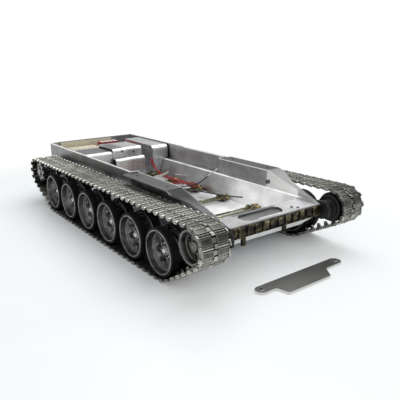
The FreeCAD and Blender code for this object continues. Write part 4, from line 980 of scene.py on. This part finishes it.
def make_anchors():
    """Hexagonal brass nuts on the bars' fixed ends, round bushes where they pass the wall."""
    bm = bmesh.new()
    for side, sign in SIDES.items():
        for number in WHEELS:
            pivot = joint_place("arm_%s_%d_swing" % (side, number)).xz
            stud(bm, pivot, 3.0, 6, *span(-sign, BAR_NUT), turn=0.3 * number)
            stud(bm, pivot, 2.2, 20, *span(-sign, BAR_COLLAR), 1, 0.3)
            stud(bm, pivot, 2.9, 24, *span(sign, WALL_BUSH), 0, 0.35)
    attach(to_object(bm, "torsion_nuts", [BRASS, DARK]), "hull", "torsion_anchors")


def make_bar_brackets():
    """Painted uprights on the floor with brass bushes, for a left and a right bar each."""
    bm = bmesh.new()
    floor = joint_place("arm_left_1_swing").z - BAR_HEIGHT
    for sign in SIDES.values():
        for number in WHEELS:
            left, right = (joint_place("arm_%s_%d_swing" % (side, number)).x
                           for side in ("left", "right"))
            outline = [(left - 4.4, 0), (right + 4.4, 0), (right + 4.1, 4.4), (right + 2.2, 6.3),
                       (left - 2.2, 6.3), (left - 4.1, 4.4)]
            prism(bm, [(x, floor + z) for x, z in outline], *span(sign, BRACKET), 0, 0.3)
            low, high = span(sign, BRACKET_FOOT)
            block(bm, (left - 4.4, low, floor), (right + 4.4, high, floor + 1.1), 0.3)
            for x in (left, right):
                stud(bm, (x, floor + BAR_HEIGHT), 2.75, 20, *span(sign, BRACKET_BUSH), 1, 0.35)
    attach(to_object(bm, "bar_brackets", [OLIVE, BRASS]), "hull")


def make_deck_tray():
    """Sheet tray close under the opening in the nose deck, its dark tone painted shade for the inside
    of the opening; a near-white lip along it as a painted highlight of the opening's front edge; and
    small screws.
    """
    nose = corners("hull_tub")[1].x
    bm = bmesh.new()
    block(bm, (nose - 26.4, -37, TRAY[0]), (nose - 3.0, 24, TRAY[1]), 0.2)
    attach(to_object(bm, "deck_tray", [TRAY_SHADE]), "hull")
    bm = bmesh.new()
    back, front = nose - 6.6, nose - 5.3
    prism(bm, [(back, -19), (front, -17), (front, 17), (nose - 6.0, 19), (back, 19)], *LIP, 0,
          0.15, "z")
    attach(to_object(bm, "deck_tray_lip", [LIP_HIGHLIGHT]), "hull")
    bm = bmesh.new()
    for x, y, size in ((nose - 9.8, 29.5, 1.3), (nose - 5.0, 33.0, 1.2)):
        rod(bm, (x, y, DECK), (x, y, DECK + 0.5), size + 0.4, 20, 1)
        rod(bm, (x, y, DECK + 0.4), (x, y, DECK + 1.4), size, 6)
    x, z = 112, 64.0
    rod(bm, (x, 57.4, z), (x, 54.6, z), 2.3, 6)
    rod(bm, (x, 57.5, z), (x, 56.7, z), 3.2, 24, 1)
    attach(to_object(bm, "hull_screws", [DARK, SCREW]), "hull")


def make_cover_cheeks():
    """Closing plates between the low part of each gearbox cover and the sloping hull wall."""
    for side, sign in (("left", 1), ("right", -1)):
        wall, front = CHEEK_INNER[side], CHEEK_FRONT[side]
        bm = bmesh.new()
        outline = [(wall, 33.0), (48.0, 33.0), (56.8, 56.2), (56.8, 57.3), (wall, 57.3)]
        prism(bm, [(sign * y, z) for y, z in outline], front - 2.0, front, 0, 0.2, "x")
        attach(to_object(bm, "cover_cheek_" + side, [COVER]), "hull")


def side_casting(name, joint, profile, outlines, bolts, plate, bolt):
    """Black boss, plates and bolts on each hull side, given from their axle outwards."""
    for side, sign in SIDES.items():
        axle = joint_place(joint % side)
        bm = bmesh.new()
        lathe(bm, [(radius, sign * along) for radius, along in profile + profile[:1]], 56)
        close_ring(bm)
        bmesh.ops.translate(bm, vec=(axle.x, 0, axle.z), verts=bm.verts)
        for outline in outlines:
            prism(bm, [(axle.x + x, axle.z + z) for x, z in outline], *span(sign, plate), 0, 0.4)
        for x, z, radius, soft in bolts:
            stud(bm, (axle.x + x, axle.z + z), radius, 6, *span(sign, bolt), 1, soft)
        attach(to_object(bm, name + side, [MOUNT, DARK]), "hull")


def make_idler_mounts():
    """Crank plate and stepped boss that carry each idler on the side of the nose."""
    boss = [(2.6, 61.6), (8.8, 61.6), (9.4, 62.2), (9.4, 65.6), (8.8, 66.2), (8.8, 66.4),
            (8.6, 66.8), (8.6, 72.0), (9.2, 72.6), (13.0, 72.8), (13.6, 73.3), (13.6, 75.2),
            (13.1, 75.7), (2.6, 75.7)]
    crank = ((-32, -4), (-30, 4), (-5, 9), (5, 9), (10, 3), (9, -7), (0, -10), (-10, -9))
    bolts = ((-27, 0, 2.2, 0.25), (-18, 1.5, 2.2, 0.25))
    side_casting("idler_mount_", "idler_%s_spin", boss, [crank], bolts, CRANK_PLATE, CRANK_BOLT)


def make_final_drives():
    """Housing on the hull side round each drive shaft, with a stepped boss and bolts."""
    boss = [(6.5, 66.8), (12.0, 66.8), (12.6, 67.4), (12.6, 69.8), (12.0, 70.4), (9.8, 70.6),
            (9.4, 71.0), (9.4, 72.2), (8.9, 72.7), (6.5, 72.7)]
    # four plates that leave a square hole for the shaft
    outlines = (((-7, -15.5), (-7, 10), (-23, 10), (-23, -10), (-18, -15.5)),
                ((7, -15.5), (40, -15.5), (51, -11), (51, -3), (38, 6), (16, 10), (7, 10)),
                ((-7, 7), (7, 7), (7, 10), (-7, 10)),
                ((-7, -15.5), (7, -15.5), (7, -7), (-7, -7)))
    bolts = [(x, z, 1.9, 0.2) for x, z in (
        (-18, 5), (-17, -10), (17, -12), (20, 5), (36, -10), (45, -6))]
    side_casting("final_drive_", "sprocket_%s_spin", boss, outlines, bolts, DRIVE_HOUSING,
                 DRIVE_BOLT)


make_anchors()
make_bar_brackets()
make_idler_mounts()
make_final_drives()
make_deck_tray()
make_cover_cheeks()


# ---------------------------------------------------------------- loose plate's screws

def make_plate_screws():
    """Screw heads with a sunk middle, and washers, standing on the loose plate."""
    low, high = corners("plate_screws")
    bm = bmesh.new()
    for y in (low.y + 2.6, high.y - 2.6):
        head = bmesh.new()
        lathe(head, [(0, 2.5), (0.9, 2.5), (1.0, 3.1), (1.5, 3.3), (1.95, 3.0), (2.05, 2.35),
                     (1.45, 2.3), (1.45, 0.1), (0, 0.1)], 32, 1)
        lathe(head, [(1.6, 2.35), (1.6, 2.6), (2.4, 2.6), (2.6, 2.4), (2.6, 2.3), (1.6, 2.3)], 32)
        bmesh.ops.rotate(head, matrix=Matrix.Rotation(math.pi / 2, 3, "X"), verts=head.verts)
        bmesh.ops.translate(head, vec=((low.x + high.x) / 2, y, 0), verts=head.verts)
        part = bpy.data.meshes.new("part")
        head.to_mesh(part)
        head.free()
        bm.from_mesh(part)
        bpy.data.meshes.remove(part)
    made = to_object(bm, "plate_screw_heads", [SCREW, DARK])
    attach(made, "loose_plate", "plate_screws")


make_plate_screws()


# ---------------------------------------------------------------- wiring

def loose_parts(node):
    """Each separate solid of a CAD node as a bmesh in millimetres, with its corners."""
    whole = bmesh.new()
    whole.from_mesh(nodes[node].data)
    bmesh.ops.remove_doubles(whole, verts=whole.verts, dist=0.000002)
    bmesh.ops.scale(whole, vec=(1 / MM, 1 / MM, 1 / MM), verts=whole.verts)
    left = set(whole.verts)
    parts = []
    while left:
        found, edge = set(), [next(iter(sorted(left, key=lambda vert: vert.index)))]
        while edge:
            vert = edge.pop()
            if vert in found:
                continue
            found.add(vert)
            edge.extend(link.other_vert(vert) for link in vert.link_edges)
        left -= found
        piece = whole.copy()
        kept = {vert.index for vert in found}
        extra = [vert for vert in piece.verts if vert.index not in kept]
        bmesh.ops.delete(piece, geom=extra, context="VERTS")
        low = Vector([min(vert.co[axis] for vert in piece.verts) for axis in range(3)])
        high = Vector([max(vert.co[axis] for vert in piece.verts) for axis in range(3)])
        parts.append((piece, low, high))
    whole.free()
    return parts


def receiver_box(bm, low, high):
    """Cream case with a stepped lid, side ribs and a row of contacts."""
    block(bm, low, (high.x, high.y, high.z - 1.6), 0.7, 1)
    block(bm, (low.x + 1.4, low.y + 1.4, high.z - 1.8), (high.x - 1.4, high.y - 1.4, high.z), 0.6, 1)
    for index in range(9):
        y = low.y + 4 + index * (high.y - low.y - 8) / 8
        block(bm, (low.x + 4, y - 0.9, high.z - 0.3), (high.x - 9, y + 0.9, high.z + 0.35), 0.2, 1)
        rod(bm, (high.x - 4.5, y, high.z - 0.6), (high.x - 4.5, y, high.z + 1.0), 0.55, 10, 3)


def plug_block(bm, low, high, rows):
    """Red socket block with a raised rim and dark contact slots."""
    block(bm, low, (high.x, high.y, high.z - 1.2), 0.4, 2)
    pitch = (high.y - low.y) / rows
    for index in range(rows):
        y = low.y + pitch * index
        block(bm, (low.x + 0.6, y + 0.5, high.z - 1.4), (high.x - 0.6, y + pitch - 0.5, high.z), 0.3, 2)
        block(bm, (low.x + 2, y + 1.3, high.z - 0.2), (high.x - 2, y + pitch - 1.3, high.z + 0.1), 0,
              4)
        rod(bm, (high.x - 0.3, y + pitch / 2, low.z + 1.8), (high.x + 1.0, y + pitch / 2, low.z + 1.8),
            0.7, 10, 3)


def is_wire(piece, low, high):
    """Cables are rounder than the boxes, lie lower, and start in front of the gearboxes."""
    return high.z < 80 and len(piece.verts) > 60 and low.x > -120


def make_wiring():
    """Cables as they run in the CAD, and the board, case, socket block and plugs on it."""
    counts = {}
    bm = bmesh.new()
    for piece, low, high in loose_parts("wiring_loom"):
        size = high - low
        if is_wire(piece, low, high):
            colour, material = "black", BLACK_WIRE
            if low.x < -90:
                colour, material = "red", RED_WIRE
            elif size.x < 25:
                colour, material = "white", WHITE_WIRE
            counts[colour] = counts.get(colour, 0) + 1
            made = to_object(piece, "wire_%s_%d" % (colour, counts[colour]), [material], 50)
            attach(made, "hull")
            continue
        piece.free()
        if size.x > 40:
            base = low.z + 2.3
            block(bm, (low.x + 4.6, low.y, base), (high.x, high.y, base + 1.6), 0.2)
            block(bm, (low.x, low.y, base), (low.x + 1.6, high.y, high.z), 0.2)
            for x in (low.x + 18.6, low.x + 46.6):
                for y in (low.y + 12, high.y - 10):
                    rod(bm, (x, y, low.z), (x, y, base), 1.6, 16, 3)
        elif size.x > 30:
            receiver_box(bm, low, high)
        elif size.x > 10:
            plug_block(bm, low, high, 4 if size.x > 16 else 3)
        else:
            block(bm, low, high, 0.4, 1)
            x, y, _ = (low + high) / 2
            rod(bm, (x, y, high.z - 0.3), (x, y, high.z + 0.7), 0.8, 12, 3)
    made = to_object(bm, "terminal_board", [BOARD, CREAM, RED_PLUG, BRASS, BLACK_WIRE])
    attach(made, "hull", "wiring_loom")


make_wiring()


# ---------------------------------------------------------------- floor, light and camera

def make_floor():
    """Pale floor that fades into the white of the background away from the chassis, with painted light
    lightening its shadow beside the tracks and in front of the nose.
    """
    reach = 4.0
    mesh = bpy.data.meshes.new("floor")
    mesh.from_pydata([(-reach, -reach, 0), (reach, -reach, 0), (reach, reach, 0),
                      (-reach, reach, 0)], [], [(0, 1, 2, 3)])
    s = Shader("floor_pale")
    tone = s.mix(s.spread(s.noise(3.0)), (0.81, 0.85, 0.86, 1), (0.85, 0.88, 0.88, 1))
    s.finish(Base_Color=tone, Roughness=0.3, Specular_IOR_Level=0.3)
    x, y, _ = s.axes()
    away = s.hypotenuse(s.math("DIVIDE", x, 0.36), s.math("DIVIDE", s.math("ADD", y, 0.03), 0.24))
    # painted light: beside the tracks and in front of the nose the floor glows part white, lightening
    # the shadow there
    outside = s.most(s.remap(s.size(y), 0.09, 0.125, 0.0, 0.45), s.remap(x, 0.112, 0.175))
    share_of_white = s.most(s.times(outside, 0.38), s.remap(away, 0.95, 1.35))
    white = s.node("Emission", {"Color": (1, 1, 1, 1), "Strength": 1.0})
    soft = s.node("MixShader", {0: share_of_white, 1: s.base.outputs[0], 2: white.outputs[0]})
    s.put(s.tree.nodes["Material Output"].inputs["Surface"], soft.outputs[0])
    mesh.materials.append(s.material)
    new_object("floor", mesh)


def make_world():
    """White to the camera; for reflections a bright sky over a darker horizon."""
    world = bpy.data.worlds.new("studio")
    bpy.context.scene.world = world
    world.use_nodes = True
    tree = world.node_tree
    tree.nodes.clear()
    out, path, seen, lit, place, split, ramp, mix = (
        tree.nodes.new("ShaderNode" + kind) for kind in (
            "OutputWorld", "LightPath", "Background", "Background", "TexCoord", "SeparateXYZ",
            "ValToRGB", "MixShader"))
    seen.inputs["Color"].default_value = (1, 1, 1, 1)
    lit.inputs["Strength"].default_value = 0.7
    horizon, sky = ramp.color_ramp.elements
    horizon.position, horizon.color = 0.0, (0.62, 0.62, 0.62, 1)
    sky.position, sky.color = 0.85, (0.95, 0.96, 0.98, 1)
    for start, finish in (
            (place.outputs["Generated"], split.inputs[0]),
            (split.outputs["Z"], ramp.inputs[0]),
            (ramp.outputs["Color"], lit.inputs["Color"]),
            (path.outputs["Is Camera Ray"], mix.inputs[0]),
            (lit.outputs[0], mix.inputs[1]),
            (seen.outputs[0], mix.inputs[2]),
            (mix.outputs[0], out.inputs["Surface"])):
        tree.links.new(start, finish)


def make_light(name, place, target, size, power):
    data = bpy.data.lights.new(name, "AREA")
    data.shape = "RECTANGLE"
    data.size, data.size_y = size
    data.energy = power
    lamp = new_object(name, data)
    lamp.location = place
    lamp.rotation_euler = (Vector(target) - Vector(place)).to_track_quat("-Z", "Y").to_euler()


def make_camera(place, forward, roll, lens):
    """A 36 mm wide camera, with roll in degrees and the focal length in millimetres."""
    data = bpy.data.cameras.new("camera")
    data.sensor_width = 36.0
    data.lens = lens
    data.clip_start = 0.01
    forward = Vector(forward).normalized()
    right = forward.cross(Vector((0, 0, 1))).normalized()
    basis = Matrix((right, right.cross(forward), -forward)).transposed().to_4x4()
    camera = new_object("camera", data)
    camera.matrix_world = Matrix.Translation(place) @ basis @ Matrix.Rotation(
        math.radians(roll), 4, "Z")
    bpy.context.scene.camera = camera


make_floor()
make_world()
make_light("overhead_softbox", (-0.15, 0.35, 1.0), (0, 0, 0.03), (1.3, 0.9), 10.0)
make_light("front_fill", (0.9, -0.9, 0.7), (0, 0, 0.04), (0.9, 0.9), 1.6)
make_camera((0.47825, -0.30959, 0.19555), (-0.77032, 0.57076, -0.28431), -0.69, 42.62)
bpy.context.scene.view_settings.view_transform = "Standard"

bpy.context.view_layer.update()
